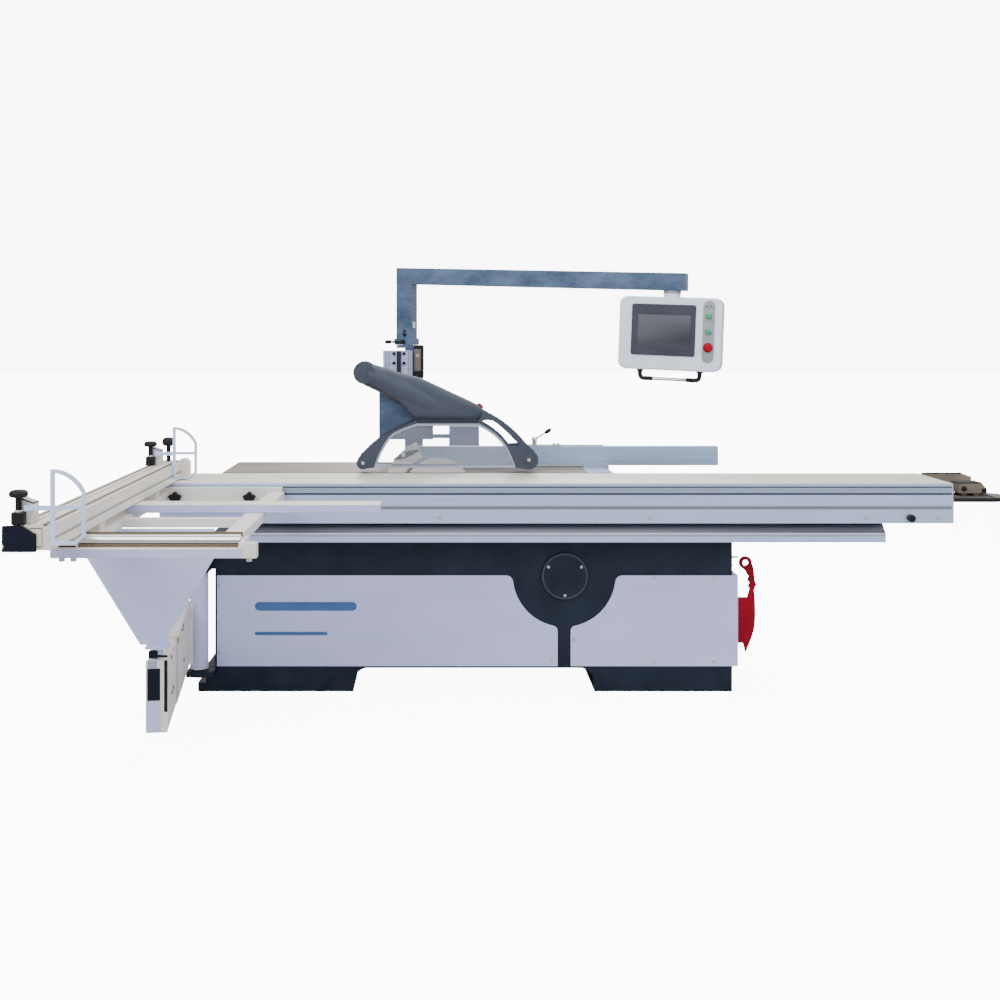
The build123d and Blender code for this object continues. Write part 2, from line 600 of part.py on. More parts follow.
def flip_stop(y, place):
    """A stop shoe with its lens and clamp knob, and a D-shaped flip arm hinged on it."""
    leg = FENCE_X[1] + 1
    with BuildPart() as shoe:
        prism(across(y - 5), [(-1296, 945.3), (-1248, 945.3), (-1248, 1001), (-1296, 1019)], -45)
        rod((PIN_X, y, PIN_Z), 5.05, 60, "Y", Mode.SUBTRACT)
    with BuildPart() as clamp:
        block((-1304, -1268), (y - 30, y - 5), (945.3, 980))
        mushroom_knob(-1286, y - 18, 980, 1043)
    finish_group(f"{place}_stop_shoe", shoe, clamp)
    with BuildPart() as arm:
        with BuildSketch(across(y - 26)) as frame:
            with BuildLine():
                Polyline((leg + 97, 1037), (leg + 97, 917), (leg + 70, 892), (leg, 892), (leg, 1100),
                         (leg + 15, 1100))
                ThreePointArc((leg + 15, 1100), (leg + 64, 1080), (leg + 97, 1037))
            make_face()
            with BuildLine():
                Polyline((leg + 87, 920), (leg + 66, 901), (leg + 12, 901), (leg + 12, 990), (leg + 87, 990),
                         close=True)
            make_face(mode=Mode.SUBTRACT)
            with BuildLine():
                Polyline((leg + 87, 1032), (leg + 87, 1000), (leg + 12, 1000), (leg + 12, 1090))
                ThreePointArc((leg + 12, 1090), (leg + 57, 1070), (leg + 87, 1032))
            make_face(mode=Mode.SUBTRACT)
        extrude(frame.sketch, amount=7)
        block((PIN_X - 7, leg + 12), (y - 33, y - 26), (PIN_Z - 6, PIN_Z + 8))
        rod((PIN_X, y - 8, PIN_Z), 5, 50, "Y")
    finish(arm, f"{place}_stop_arm")


flip_stop(STOP_Y[0], "near")
flip_stop(STOP_Y[1], "far")

with BuildPart() as fence_lock:
    mushroom_knob(-1247, -315, 945.3, 1046)
finish(fence_lock, "fence_lock_knob")

# ---------------------------------------------------------------- overhead guard
GUARD_MID = (GUARD_Y[0] + GUARD_Y[1]) / 2
LEFT_LOBE, RIGHT_LOBE = (-455.0, 915.0), (266.0, 930.0)
PORT = (-449.0, 1305.0)            # centre of the round duct end
PORT_TOE = 6.0    # the hose spigot turns outwards to clear the column
SIDES = (GUARD_Y[0], GUARD_Y[1] - 6)


BUTTON_SEAT = Location((50, GUARD_MID, 1152), (0, 42, 0))


def window_outline():
    """The arched outline of a side window, in the sketch being built."""
    with BuildLine() as arch:
        Line((208, 899), (-418, 893))
        ThreePointArc((-418, 893), (-345, 1010), (-222, 1082))
        Line((-222, 1082), (43, 1082))
        ThreePointArc((43, 1082), (150, 1010), (208, 899))
    make_face(arch.edges())


with BuildPart() as guard_hood:
    top = [(43, 1095), (80, 1132), (52, 1158), (32, 1172), (-81, 1225), (-191, 1278), (-330, 1300)]
    lower = [(-330, 1215), (-284, 1168), (-232, 1095)]
    prism(across(GUARD_Y[0] + 12), top + lower, -(GUARD_Y[1] - GUARD_Y[0] - 24))
    with BuildSketch(across(GUARD_Y[0] + 16)) as inner:
        with BuildLine():
            Polyline(*(top + lower), close=True)
        make_face()
        offset(amount=-4, kind=Kind.INTERSECTION)
    extrude(inner.sketch, amount=-(GUARD_Y[1] - GUARD_Y[0] - 32), mode=Mode.SUBTRACT)
    block((-222, 36), (GUARD_Y[0] + 16, GUARD_Y[1] - 16), (1090, 1102), Mode.SUBTRACT)
    for y in SIDES:
        with BuildSketch(across(y)) as side:
            for centre, radius in ((LEFT_LOBE, 28), (RIGHT_LOBE, 43)):
                with Locations(centre):
                    Circle(radius)
            with BuildLine():
                Polyline((-481, 925), (-473, 942), (-413, 995), (-315, 1051), (-225, 1097), (-222, 1082),
                         (-300, 1040), (-390, 960), (-428, 905), close=True)
            make_face()
            with BuildLine():
                Polyline((-240, 1100), (-232, 1082), (43, 1082), (55, 1098), (108, 1098), (154, 1063),
                         (199, 1021), (225, 960), (300, 950), (290, 965), (244, 1010), (176, 1063),
                         (108, 1115), (78, 1134), (43, 1145), (-240, 1145), close=True)
            make_face()
        extrude(side.sketch, amount=-6)
    for y in (GUARD_Y[0] + 6, GUARD_Y[1] - 12):
        block((-236, 60), (y, y + 6), (1098, 1143))
    for centre in (LEFT_LOBE, RIGHT_LOBE):
        rod((centre[0], GUARD_MID, centre[1]), 16, GUARD_Y[1] - GUARD_Y[0], "Y")
    with Locations(BUTTON_SEAT):
        Cylinder(15.4, 30, mode=Mode.SUBTRACT)

with BuildPart() as guard_duct:
    mouth = Plane((PORT[0] + 10, GUARD_MID, PORT[1] - 3), x_dir=(0, 1, 0), z_dir=(1, 0, 0))
    throat = Plane((-330, GUARD_MID, 1257), x_dir=(0, 1, 0), z_dir=(1, 0, 0))
    for grow, mode in ((0, Mode.ADD), (-4, Mode.SUBTRACT)):
        rod((PORT[0], GUARD_MID - grow, PORT[1]), 47 + grow, 100, "Y", mode)
        with BuildSketch(mouth) as first:
            Circle(46 + grow)
        with BuildSketch(throat) as last:
            Circle(42 + grow)
        loft([first.sketch, last.sketch], mode=mode)

PORT_AXIS = Location((PORT[0], 8, PORT[1])) * Rot(0, 0, PORT_TOE) * Rot(-90, 0, 0) * Pos(0, 0, 30)
with BuildPart() as dust_port:
    with Locations(PORT_AXIS):
        Cylinder(49, 72)
        Cylinder(43, 72, mode=Mode.SUBTRACT)
    block((PORT[0] - 80, PORT[0] + 80), (-20, 8), (PORT[1] - 60, PORT[1] + 60), Mode.SUBTRACT)
finish_group("dust_port", guard_duct, dust_port)

with BuildPart() as guard_windows:
    for y in (GUARD_Y[0] + 6, GUARD_Y[1] - 9):
        with BuildSketch(across(y)) as pane:
            window_outline()
            for centre in (LEFT_LOBE, RIGHT_LOBE):
                with Locations(centre):
                    Circle(16.3, mode=Mode.SUBTRACT)
        extrude(pane.sketch, amount=-3)
finish(guard_windows, "guard_windows")

with BuildPart() as window_rims:
    for y in (GUARD_Y[0] + 9, GUARD_Y[1] - 12):
        with BuildSketch(across(y)) as rim:
            window_outline()
            offset(amount=-13, kind=Kind.INTERSECTION, mode=Mode.SUBTRACT)
        extrude(rim.sketch, amount=-3)
finish_group("guard_hood", guard_hood, window_rims)

with BuildPart() as hood_button:
    with Locations(BUTTON_SEAT * Pos(0, 0, 5)):
        Cylinder(15, 20)
finish(hood_button, "hood_button")

# ---------------------------------------------------------------- guard column
with BuildPart() as guard_column:
    block((-295, -205), (655, 745), (15, 1405))
    block((-289, -211), (661, 739), (15, 1405), Mode.SUBTRACT)
    block((-375, -125), (575, 825), (0, 15))
    with Locations((-250, 700, 7.5)):
        with GridLocations(200, 200, 2, 2):
            Cylinder(7, 20, mode=Mode.SUBTRACT)
    block((-285, -215), (BASE_Y + PANEL_T, 657), (490, 560))
    block((-205, -75), (690, 710), (955, 975))
    block((-75, 75), (660, 740), (915, 1015))
with BuildPart() as column_cap:
    block((-335, -205), (650, 750), (1405, 1420))
with BuildPart() as mast_stub:
    rod((MAST_X, MAST_Y, 1457.5), 18, 75)
finish_group("guard_column", guard_column, column_cap, mast_stub)

with BuildPart() as column_guide:
    block((-401, -257), (615, 655), (1000, 1393))
    block((-333, -311), (598, 615), (1000, 1393))
    for z in (1040, 1332, 1379):
        for x in (-347, -297):
            rod((x, 612, z), 7, 6, "Y")
finish(column_guide, "column_guide")

with BuildPart() as guard_arm:
    block((-385, -273), (556, 614.7), (1060, 1160))
    block((-333.3, -310.7), (597.7, 614.7), (1060, 1160), Mode.SUBTRACT)
    block((-360, -300), (GUARD_Y[1] + 6, 556), (1075, 1145))
    block((-354, -306), (GUARD_Y[1] + 12, 550), (1081, 1139), Mode.SUBTRACT)

with BuildPart() as guard_back_plate:
    block((-391, -150), (GUARD_Y[1], GUARD_Y[1] + 6), (1006, 1225))
finish_group("guard_arm", guard_arm, guard_back_plate)

# ---------------------------------------------------------------- mast and control pendant
DROOP = 52.0                       # drop of the beam's free end
MAST_TOP = 1805.0
beam_side = Plane(mast_frame.origin, x_dir=mast_frame.x_dir, z_dir=-mast_frame.y_dir)
NECK_Z = MAST_TOP - BOX - DROOP * NECK_X / BEAM_LENGTH
CASE_Z = (1307.0, 1645.0)
BUTTON_X = 177.0
face = Plane(mast_frame.origin + mast_frame.x_dir * NECK_X - mast_frame.y_dir * PANEL_D / 2,
             x_dir=mast_frame.x_dir, z_dir=-mast_frame.y_dir)
LEAN = math.degrees(math.atan(DROOP / BEAM_LENGTH))
neck_axis = Axis(mast_frame.from_local_coords((NECK_X, 0, NECK_Z)), mast_frame.y_dir)

def hang(name, *builders):
    """Finish pieces of the pendant, leaning square to the beam it hangs from."""
    for builder in builders:
        builder.part = builder.part.rotate(neck_axis, LEAN)
    finish_group(name, *builders)


with BuildPart(mast_frame) as mast:
    block((-40, 40), (-40, 40), (1421, 1726))
    block((-35, 35), (-35, 35), (1431, 1720), Mode.SUBTRACT)
    rod((0, 0, 1421), 18.05, 60, mode=Mode.SUBTRACT)
    prism(beam_side, [(-40, 1725), (-40, MAST_TOP), (BEAM_LENGTH, MAST_TOP - DROOP),
                      (BEAM_LENGTH, MAST_TOP - DROOP - BOX)], 40, both=True)
    prism(beam_side, [(-30, 1731), (-30, MAST_TOP - 6), (BEAM_LENGTH - 6, MAST_TOP - DROOP - 6),
                      (BEAM_LENGTH - 6, MAST_TOP - DROOP - BOX + 6)], 34, Mode.SUBTRACT, both=True)

with BuildPart(mast_frame) as mast_collar:
    block((-48, 48), (-48, 48), (1421, 1452))
    block((-40, 40), (-40, 40), (1421, 1452), Mode.SUBTRACT)
finish_group("mast", mast, mast_collar)

with BuildPart(mast_frame) as mast_lever:
    rod((0, -56, 1436), 11, 15, "Y")
    block((-75, 0), (-63.5, -54), (1431, 1441))
    rod((-78, -58, 1436), 9, 26, "X")
finish(mast_lever, "mast_lever")

with BuildPart(mast_frame) as pendant_neck:
    rod((NECK_X, 0, (NECK_Z - 3 + CASE_Z[1]) / 2), 38, NECK_Z - 3 - CASE_Z[1])

with BuildPart() as pendant_case:
    with BuildSketch(face) as front:
        with Locations((0, sum(CASE_Z) / 2)):
            RectangleRounded(PANEL_W, CASE_Z[1] - CASE_Z[0], 38)
    extrude(front.sketch, amount=-PANEL_D)
    fillet(pendant_case.faces().sort_by(Axis(mast_frame.origin, mast_frame.y_dir))[0].edges(), 8)
    for z, radius in ((1561, 9.3), (1490, 9.3), (1419, 12.3)):
        rod_plane = Plane(face.from_local_coords((BUTTON_X, z, 0)), x_dir=face.x_dir, z_dir=face.z_dir)
        with BuildSketch(rod_plane) as hole:
            Circle(radius)
        extrude(hole.sketch, amount=-30, mode=Mode.SUBTRACT)
hang("pendant_case", pendant_case, pendant_neck)


def panel_plate(centre, size, radius, depth):
    """A thin rounded plate on the pendant's face, in the part being built."""
    with BuildSketch(face.offset(depth[0])) as shape:
        with Locations(centre):
            RectangleRounded(*size, radius)
    extrude(shape.sketch, amount=depth[1] - depth[0])


BUTTONS = {"start_button": (1561, 12.0, 9.0), "reset_button": (1490, 12.0, 9.0), "emergency_stop": (1419, 21.0, 12.0)}
with BuildPart() as bezel:
    panel_plate((-28, 1492), (293, 236), 8, (0, 4))
with BuildPart() as screen:
    panel_plate((-25, 1489), (243, 150), 3, (4, 5))
hang("screen", bezel, screen)

for name, (z, radius, shaft) in BUTTONS.items():
    with BuildPart() as button:
        tall = 22 if name == "emergency_stop" else 10
        with BuildSketch(face.offset(9)) as cap:
            with Locations((BUTTON_X, z)):
                Circle(radius)
        extrude(cap.sketch, amount=tall - 4)
        with BuildSketch(face.offset(-20)) as stem:
            with Locations((BUTTON_X, z)):
                Circle(shaft)
        extrude(stem.sketch, amount=29)
    hang(name, button)

with BuildPart() as pendant_handle:
    with BuildSketch(face.offset(-60)) as legs:
        for x in (-138, 138):
            with Locations((x, CASE_Z[0] - 26)):
                RectangleRounded(22, 52, 6)
    extrude(legs.sketch, amount=20)

with BuildPart(mast_frame) as handle_bar:
    rod((NECK_X, -PANEL_D / 2 + 50, CASE_Z[0] - 42), 8, 254, "X")
hang("pendant_handle", pendant_handle, handle_bar)
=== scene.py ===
"""Looks of the sliding table panel saw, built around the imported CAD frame. Metres throughout."""
import json
import math

import bpy
from mathutils import Matrix, Vector


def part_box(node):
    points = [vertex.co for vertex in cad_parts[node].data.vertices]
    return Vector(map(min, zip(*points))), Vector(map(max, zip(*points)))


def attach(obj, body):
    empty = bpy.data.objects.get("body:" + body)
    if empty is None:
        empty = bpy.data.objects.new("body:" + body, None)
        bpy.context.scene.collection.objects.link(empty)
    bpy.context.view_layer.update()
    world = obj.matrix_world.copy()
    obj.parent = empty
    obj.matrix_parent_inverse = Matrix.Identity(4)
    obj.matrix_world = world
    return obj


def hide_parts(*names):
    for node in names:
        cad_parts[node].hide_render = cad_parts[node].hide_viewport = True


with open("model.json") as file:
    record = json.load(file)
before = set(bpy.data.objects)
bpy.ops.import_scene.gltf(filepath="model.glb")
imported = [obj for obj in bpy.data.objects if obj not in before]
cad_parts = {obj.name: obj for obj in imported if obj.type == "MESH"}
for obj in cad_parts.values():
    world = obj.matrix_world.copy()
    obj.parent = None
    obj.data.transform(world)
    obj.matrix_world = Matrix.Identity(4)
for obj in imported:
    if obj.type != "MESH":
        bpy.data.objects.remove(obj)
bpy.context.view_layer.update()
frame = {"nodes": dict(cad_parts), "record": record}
nodes = frame["nodes"]


# ---------------------------------------------------------------- materials
look = {}


def surface(name, low, high, rough=(0.35, 0.5), metal=0.0, scale=(8, 8, 8), detail=6.0, bump=0.0,
            bump_scale=400.0, spots=0.0, coat=0.0, gloss=0.5, edge=0.0012):
    """Add a procedural finish: two tones mixed by stretched noise, fine bump, rounded-edge shading."""
    material = bpy.data.materials.new(name)
    material.use_nodes = True
    tree = material.node_tree
    link = tree.links.new
    shader = tree.nodes["Principled BSDF"]
    shader.inputs["Metallic"].default_value = metal
    shader.inputs["Coat Weight"].default_value = coat
    shader.inputs["Coat Roughness"].default_value = 0.15
    shader.inputs["Specular IOR Level"].default_value = gloss
    place = tree.nodes.new("ShaderNodeTexCoord")
    stretch = tree.nodes.new("ShaderNodeMapping")
    stretch.inputs["Scale"].default_value = scale
    link(place.outputs["Object"], stretch.inputs["Vector"])
    cloud = tree.nodes.new("ShaderNodeTexNoise")
    cloud.inputs["Scale"].default_value = 1.0
    cloud.inputs["Detail"].default_value = detail
    cloud.inputs["Roughness"].default_value = 0.62
    link(stretch.outputs["Vector"], cloud.inputs["Vector"])
    ramp = tree.nodes.new("ShaderNodeValToRGB")
    ramp.color_ramp.elements[0].position = 0.33
    ramp.color_ramp.elements[1].position = 0.67
    ramp.color_ramp.elements[0].color = (*low, 1)
    ramp.color_ramp.elements[1].color = (*high, 1)
    link(cloud.outputs["Fac"], ramp.inputs["Fac"])
    colour = ramp.outputs["Color"]
    if spots:
        dirt = tree.nodes.new("ShaderNodeTexNoise")
        dirt.inputs["Scale"].default_value = 55.0
        dirt.inputs["Detail"].default_value = 3.0
        link(place.outputs["Object"], dirt.inputs["Vector"])
        mask = tree.nodes.new("ShaderNodeMapRange")
        mask.inputs["From Min"].default_value = 0.62
        mask.inputs["From Max"].default_value = 0.78
        mask.inputs["To Max"].default_value = spots
        link(dirt.outputs["Fac"], mask.inputs["Value"])
        mix = tree.nodes.new("ShaderNodeMix")
        mix.data_type = "RGBA"
        link(mask.outputs["Result"], mix.inputs["Factor"])
        link(colour, mix.inputs["A"])
        mix.inputs["B"].default_value = (*[c * 0.45 for c in low], 1)
        colour = mix.outputs["Result"]
    link(colour, shader.inputs["Base Color"])
    shine = tree.nodes.new("ShaderNodeMapRange")
    shine.inputs["From Min"].default_value = 0.3
    shine.inputs["From Max"].default_value = 0.7
    shine.inputs["To Min"].default_value = rough[0]
    shine.inputs["To Max"].default_value = rough[1]
    link(cloud.outputs["Fac"], shine.inputs["Value"])
    link(shine.outputs["Result"], shader.inputs["Roughness"])
    soft_edge = tree.nodes.new("ShaderNodeBevel")
    soft_edge.samples = 4
    soft_edge.inputs["Radius"].default_value = edge
    normal = soft_edge.outputs["Normal"]
    if bump:
        grain = tree.nodes.new("ShaderNodeTexNoise")
        grain.inputs["Scale"].default_value = bump_scale
        grain.inputs["Detail"].default_value = 2.0
        link(place.outputs["Object"], grain.inputs["Vector"])
        relief = tree.nodes.new("ShaderNodeBump")
        relief.inputs["Strength"].default_value = bump
        relief.inputs["Distance"].default_value = 0.0006
        link(grain.outputs["Fac"], relief.inputs["Height"])
        link(normal, relief.inputs["Normal"])
        normal = relief.outputs["Normal"]
    link(normal, shader.inputs["Normal"])
    look[name] = material


def clear_plastic(name, tint, alpha):
    """Add a thin clear sheet: mostly see-through, with a glossy face."""
    material = bpy.data.materials.new(name)
    material.use_nodes = True
    tree = material.node_tree
    shader = tree.nodes["Principled BSDF"]
    shader.inputs["Alpha"].default_value = alpha
    shader.inputs["IOR"].default_value = 1.45
    place = tree.nodes.new("ShaderNodeTexCoord")
    haze = tree.nodes.new("ShaderNodeTexNoise")
    haze.inputs["Scale"].default_value = 9.0
    tree.links.new(place.outputs["Object"], haze.inputs["Vector"])
    ramp = tree.nodes.new("ShaderNodeValToRGB")
    ramp.color_ramp.elements[0].color = (*[c * 0.85 for c in tint], 1)
    ramp.color_ramp.elements[1].color = (*tint, 1)
    tree.links.new(haze.outputs["Fac"], ramp.inputs["Fac"])
    tree.links.new(ramp.outputs["Color"], shader.inputs["Base Color"])
    gloss = tree.nodes.new("ShaderNodeMapRange")
    gloss.inputs["To Min"].default_value = 0.04
    gloss.inputs["To Max"].default_value = 0.16
    tree.links.new(haze.outputs["Fac"], gloss.inputs["Value"])
    tree.links.new(gloss.outputs["Result"], shader.inputs["Roughness"])
    look[name] = material


STREAK_X, STREAK_Y = (2, 240, 240), (240, 2, 240)
surface("black_paint", (0.005, 0.009, 0.02), (0.011, 0.017, 0.032), (0.4, 0.55), bump=0.12, spots=0.25,
        gloss=0.18)
surface("plinth_paint", (0.002, 0.004, 0.012), (0.004, 0.007, 0.018), (0.4, 0.55), bump=0.12, gloss=0.15)
# pale_paint is also used as painted shade on cream fronts: the stock bar, the outrigger's front tube and the
# arm's near end.
surface("pale_paint", (0.42, 0.45, 0.72), (0.49, 0.52, 0.8), (0.38, 0.5), scale=(1.5, 1.5, 3), bump=0.15,
        bump_scale=700, coat=0.08)
surface("cream_paint", (0.66, 0.64, 0.60), (0.74, 0.72, 0.69), (0.36, 0.5), scale=(3, 3, 3), bump=0.12,
        bump_scale=600, spots=0.06)
surface("slate_plastic", (0.028, 0.037, 0.06), (0.04, 0.05, 0.078), (0.42, 0.55), scale=(5, 5, 5),
        bump=0.35, bump_scale=900, gloss=0.35)
# rim_plastic also paints shade in the sliding table's front grooves and its T-slot.
surface("rim_plastic", (0.012, 0.014, 0.02), (0.02, 0.022, 0.03), (0.4, 0.5), bump=0.2, gloss=0.2)
surface("rim_light", (0.24, 0.27, 0.36), (0.3, 0.33, 0.43), (0.3, 0.4), bump=0.1)
surface("black_plastic", (0.006, 0.006, 0.007), (0.012, 0.012, 0.014), (0.38, 0.5), bump=0.3,
        bump_scale=900, gloss=0.2)
surface("red_plastic", (0.25, 0.001, 0.012), (0.34, 0.002, 0.018), (0.3, 0.42), bump=0.1, gloss=0.12)
surface("green_plastic", (0.01, 0.26, 0.12), (0.02, 0.36, 0.17), (0.25, 0.35))
# white_plastic also paints a highlight along the fixed beam's front edge.
surface("white_plastic", (0.7, 0.75, 0.95), (0.76, 0.81, 0.98), (0.3, 0.42), scale=(4, 4, 4), bump=0.1,
        bump_scale=1200)
surface("frame_plastic", (0.46, 0.58, 0.9), (0.56, 0.67, 0.95), (0.3, 0.42), bump=0.1)
surface("grey_strip", (0.25, 0.27, 0.30), (0.30, 0.32, 0.35), (0.35, 0.5), bump=0.1)
surface("screen_glass", (0.03, 0.033, 0.046), (0.12, 0.125, 0.155), (0.08, 0.14), scale=(1.5, 1.5, 5),
        detail=1.0, edge=0.0003)
surface("bezel_plastic", (0.036, 0.04, 0.06), (0.048, 0.053, 0.074), (0.4, 0.5), bump=0.15, gloss=0.2)
clear_plastic("clear_window", (0.70, 0.74, 0.86), 0.06)
surface("anodised", (0.4, 0.49, 0.74), (0.5, 0.59, 0.86), (0.34, 0.46), 0.55, STREAK_X, bump=0.05,
        bump_scale=900)
surface("table_top", (0.86, 0.82, 0.70), (0.97, 0.93, 0.82), (0.3, 0.42), 0.3, STREAK_X)
surface("rip_bar", (0.28, 0.38, 0.56), (0.38, 0.48, 0.68), (0.35, 0.48), 0.45, STREAK_X)
surface("cream_anodised", (0.78, 0.73, 0.64), (0.88, 0.83, 0.74), (0.34, 0.46), 0.35, STREAK_Y)
surface("table_iron", (0.2, 0.165, 0.13), (0.31, 0.27, 0.22), (0.28, 0.5), 0.45, scale=(3, 6, 6),
        spots=0.3, bump=0.1)
surface("casting", (0.05, 0.055, 0.06), (0.09, 0.095, 0.10), (0.5, 0.7), bump=0.6, bump_scale=260)
surface("bright_steel", (0.55, 0.55, 0.57), (0.68, 0.68, 0.70), (0.14, 0.26), 1.0, STREAK_X)
surface("zinc_steel", (0.42, 0.43, 0.45), (0.56, 0.57, 0.59), (0.3, 0.42), 1.0, (40, 40, 40))
surface("mast_paint", (0.034, 0.062, 0.125), (0.095, 0.15, 0.27), (0.3, 0.5), 0.3, (5, 14, 14), detail=9,
        bump=0.25, bump_scale=300, coat=0.1)
surface("tray_metal", (0.13, 0.108, 0.088), (0.19, 0.160, 0.132), (0.45, 0.6), bump=0.2, gloss=0.3)
surface("tray_dark", (0.06, 0.056, 0.052), (0.09, 0.084, 0.078), (0.5, 0.65), bump=0.3, gloss=0.2)
surface("belt_rubber", (0.01, 0.01, 0.01), (0.02, 0.02, 0.02), (0.7, 0.85), bump=0.3)
surface("badge_blue", (0.03, 0.09, 0.26), (0.04, 0.11, 0.3), (0.35, 0.45))
# shade_grey paints shade on the beam's slope, the table's deep cove and the guide's grooves; it also greys
# the arm's seam and the pilot lamps.
surface("shade_grey", (0.13, 0.135, 0.16), (0.18, 0.185, 0.22), (0.4, 0.5), 0.3, STREAK_X)
# band_grey paints shade on the beam's upper front, the table's band and wide cove, and the arm's near-end
# head.
surface("band_grey", (0.27, 0.32, 0.46), (0.33, 0.38, 0.54), (0.34, 0.46), 0.5, STREAK_X)
# warm_brown is the print of the fence scales and lens marks, and also the roller's painted reflection.
surface("warm_brown", (0.12, 0.085, 0.05), (0.19, 0.14, 0.09), (0.35, 0.5), 0.3, STREAK_Y)
surface("gold", (0.5, 0.34, 0.12), (0.62, 0.44, 0.18), (0.25, 0.35), 0.9)
slot_of = {part["node"]: part["material_slot"] for part in frame["record"]["subparts"]}
own_look = {"rip_fence_bar": "rip_bar"}
for name, node in nodes.items():
    finish = look[own_look.get(name, slot_of[name])]
    for place in node.material_slots:
        place.material = finish


# ---------------------------------------------------------------- camera, floor and lights
def aim(obj, target):
    obj.rotation_euler = (Vector(target) - obj.location).to_track_quat("-Z", "Y").to_euler()


BACKDROP = 11.0     # how bright the paper behind and below the machine looks to the camera


def studio():
    """Pale floor, soft light from above and in front, and the catalogue camera."""
    camera = bpy.data.objects.new("camera", bpy.data.cameras.new("camera"))
    camera.data.lens = 43.2
    camera.data.sensor_width = 36.0
    camera.location = (-0.120, -5.298, 1.470)
    camera.rotation_euler = (math.radians(90), 0, 0)
    camera.data.shift_x = 0.060
    camera.data.shift_y = -0.165
    bpy.context.scene.collection.objects.link(camera)
    bpy.context.scene.camera = camera
    floor = bpy.data.objects.new("floor", bpy.data.meshes.new("floor"))
    edge = 40.0
    floor.data.from_pydata([(-edge, -edge, 0), (edge, -edge, 0), (edge, edge, 0), (-edge, edge, 0)], [],
                           [(0, 1, 2, 3)])
    white = bpy.data.materials.new("floor_white")
    white.use_nodes = True
    tree = white.node_tree
    paper = tree.nodes["Principled BSDF"]
    paper.inputs["Base Color"].default_value = (0.60, 0.60, 0.60, 1)
    paper.inputs["Roughness"].default_value = 0.9
    paper.inputs["Specular IOR Level"].default_value = 0.1
    glow = tree.nodes.new("ShaderNodeEmission")
    seen = tree.nodes.new("ShaderNodeLightPath")
    bright = tree.nodes.new("ShaderNodeMath")
    bright.operation = "MULTIPLY"
    bright.inputs[1].default_value = BACKDROP - 0.5
    both = tree.nodes.new("ShaderNodeAddShader")
    tree.links.new(seen.outputs["Is Camera Ray"], bright.inputs[0])
    tree.links.new(bright.outputs[0], glow.inputs["Strength"])
    tree.links.new(paper.outputs[0], both.inputs[0])
    tree.links.new(glow.outputs[0], both.inputs[1])
    tree.links.new(both.outputs[0], tree.nodes["Material Output"].inputs["Surface"])
    floor.data.materials.append(white)
    bpy.context.scene.collection.objects.link(floor)
    for name, place, size, power in (("key", (-2.5, -4.5, 4.2), 3.5, 190), ("fill", (3.5, -4.0, 3.4), 3.0,
            120), ("top", (0.2, 0.3, 4.6), 5.0, 170), ("back", (0.5, 4.5, 3.5), 3.5, 90)):
        lamp = bpy.data.objects.new(name, bpy.data.lights.new(name, "AREA"))
        lamp.data.size = size
        lamp.data.energy = power
        lamp.location = place
        aim(lamp, (0, -0.2, 0.7))
        bpy.context.scene.collection.objects.link(lamp)
    world = bpy.data.worlds.new("studio")
    world.use_nodes = True
    tree = world.node_tree
    soft = tree.nodes["Background"]
    soft.inputs["Color"].default_value = (1, 1, 1, 1)
    soft.inputs["Strength"].default_value = 0.85
    backdrop = tree.nodes.new("ShaderNodeBackground")
    backdrop.inputs["Strength"].default_value = BACKDROP
    rays = tree.nodes.new("ShaderNodeLightPath")
    mix = tree.nodes.new("ShaderNodeMixShader")
    tree.links.new(rays.outputs["Is Camera Ray"], mix.inputs["Fac"])
    tree.links.new(soft.outputs["Background"], mix.inputs[1])
    tree.links.new(backdrop.outputs["Background"], mix.inputs[2])
    tree.links.new(mix.outputs["Shader"], tree.nodes["World Output"].inputs["Surface"])
    bpy.context.scene.world = world


studio()


# ---------------------------------------------------------------- mesh helpers
def piece(obj, finish, body, bevel=0.0, smooth=True):
    """Link a mesh, give it its finish and let it ride on a body."""
    obj.data.materials.append(look[finish])
    bpy.context.scene.collection.objects.link(obj)
    if smooth:
        for face in obj.data.polygons:
            face.use_smooth = True
    if bevel:
        rounding = obj.modifiers.new("rounding", "BEVEL")
        rounding.width = bevel
        rounding.segments = 3
        rounding.limit_method = "ANGLE"
        rounding.harden_normals = True
    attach(obj, body)
    return obj


def mesh_object(name, verts, faces):
    data = bpy.data.meshes.new(name)
    data.from_pydata(verts, [], faces)
    data.validate()
    return bpy.data.objects.new(name, data)


def slab(name, low, high, finish, body, bevel=0.002, turn=None):
    """A rounded block between two corners, optionally carried by a matrix."""
    verts = [Vector((x, y, z)) for x in (low[0], high[0]) for y in (low[1], high[1])
             for z in (low[2], high[2])]
    if turn:
        verts = [turn @ v for v in verts]
    faces = [(0, 1, 3, 2), (4, 6, 7, 5), (0, 4, 5, 1), (2, 3, 7, 6), (0, 2, 6, 4), (1, 5, 7, 3)]
    return piece(mesh_object(name, verts, faces), finish, body, bevel)


def turned(name, profile, origin, axis, finish, body, steps=48):
    """A lathed piece: profile of (radius, height) pairs about an axis through origin."""
    frame_turn = Vector(axis).to_track_quat("Z", "Y").to_matrix()
    verts, faces = [], []
    for radius, height in profile:
        for step in range(steps):
            angle = 2 * math.pi * step / steps
            local = Vector((radius * math.cos(angle), radius * math.sin(angle), height))
            verts.append(Vector(origin) + frame_turn @ local)
    for level in range(len(profile) - 1):
        for step in range(steps):
            after = (step + 1) % steps
            faces.append((level * steps + step, level * steps + after, (level + 1) * steps + after,
                          (level + 1) * steps + step))
    faces.append(tuple(reversed(range(steps))))
    faces.append(tuple((len(profile) - 1) * steps + step for step in range(steps)))
    obj = piece(mesh_object(name, verts, faces), finish, body, 0.0)
    split = obj.modifiers.new("edges", "EDGE_SPLIT")
    split.split_angle = math.radians(40)
    return obj


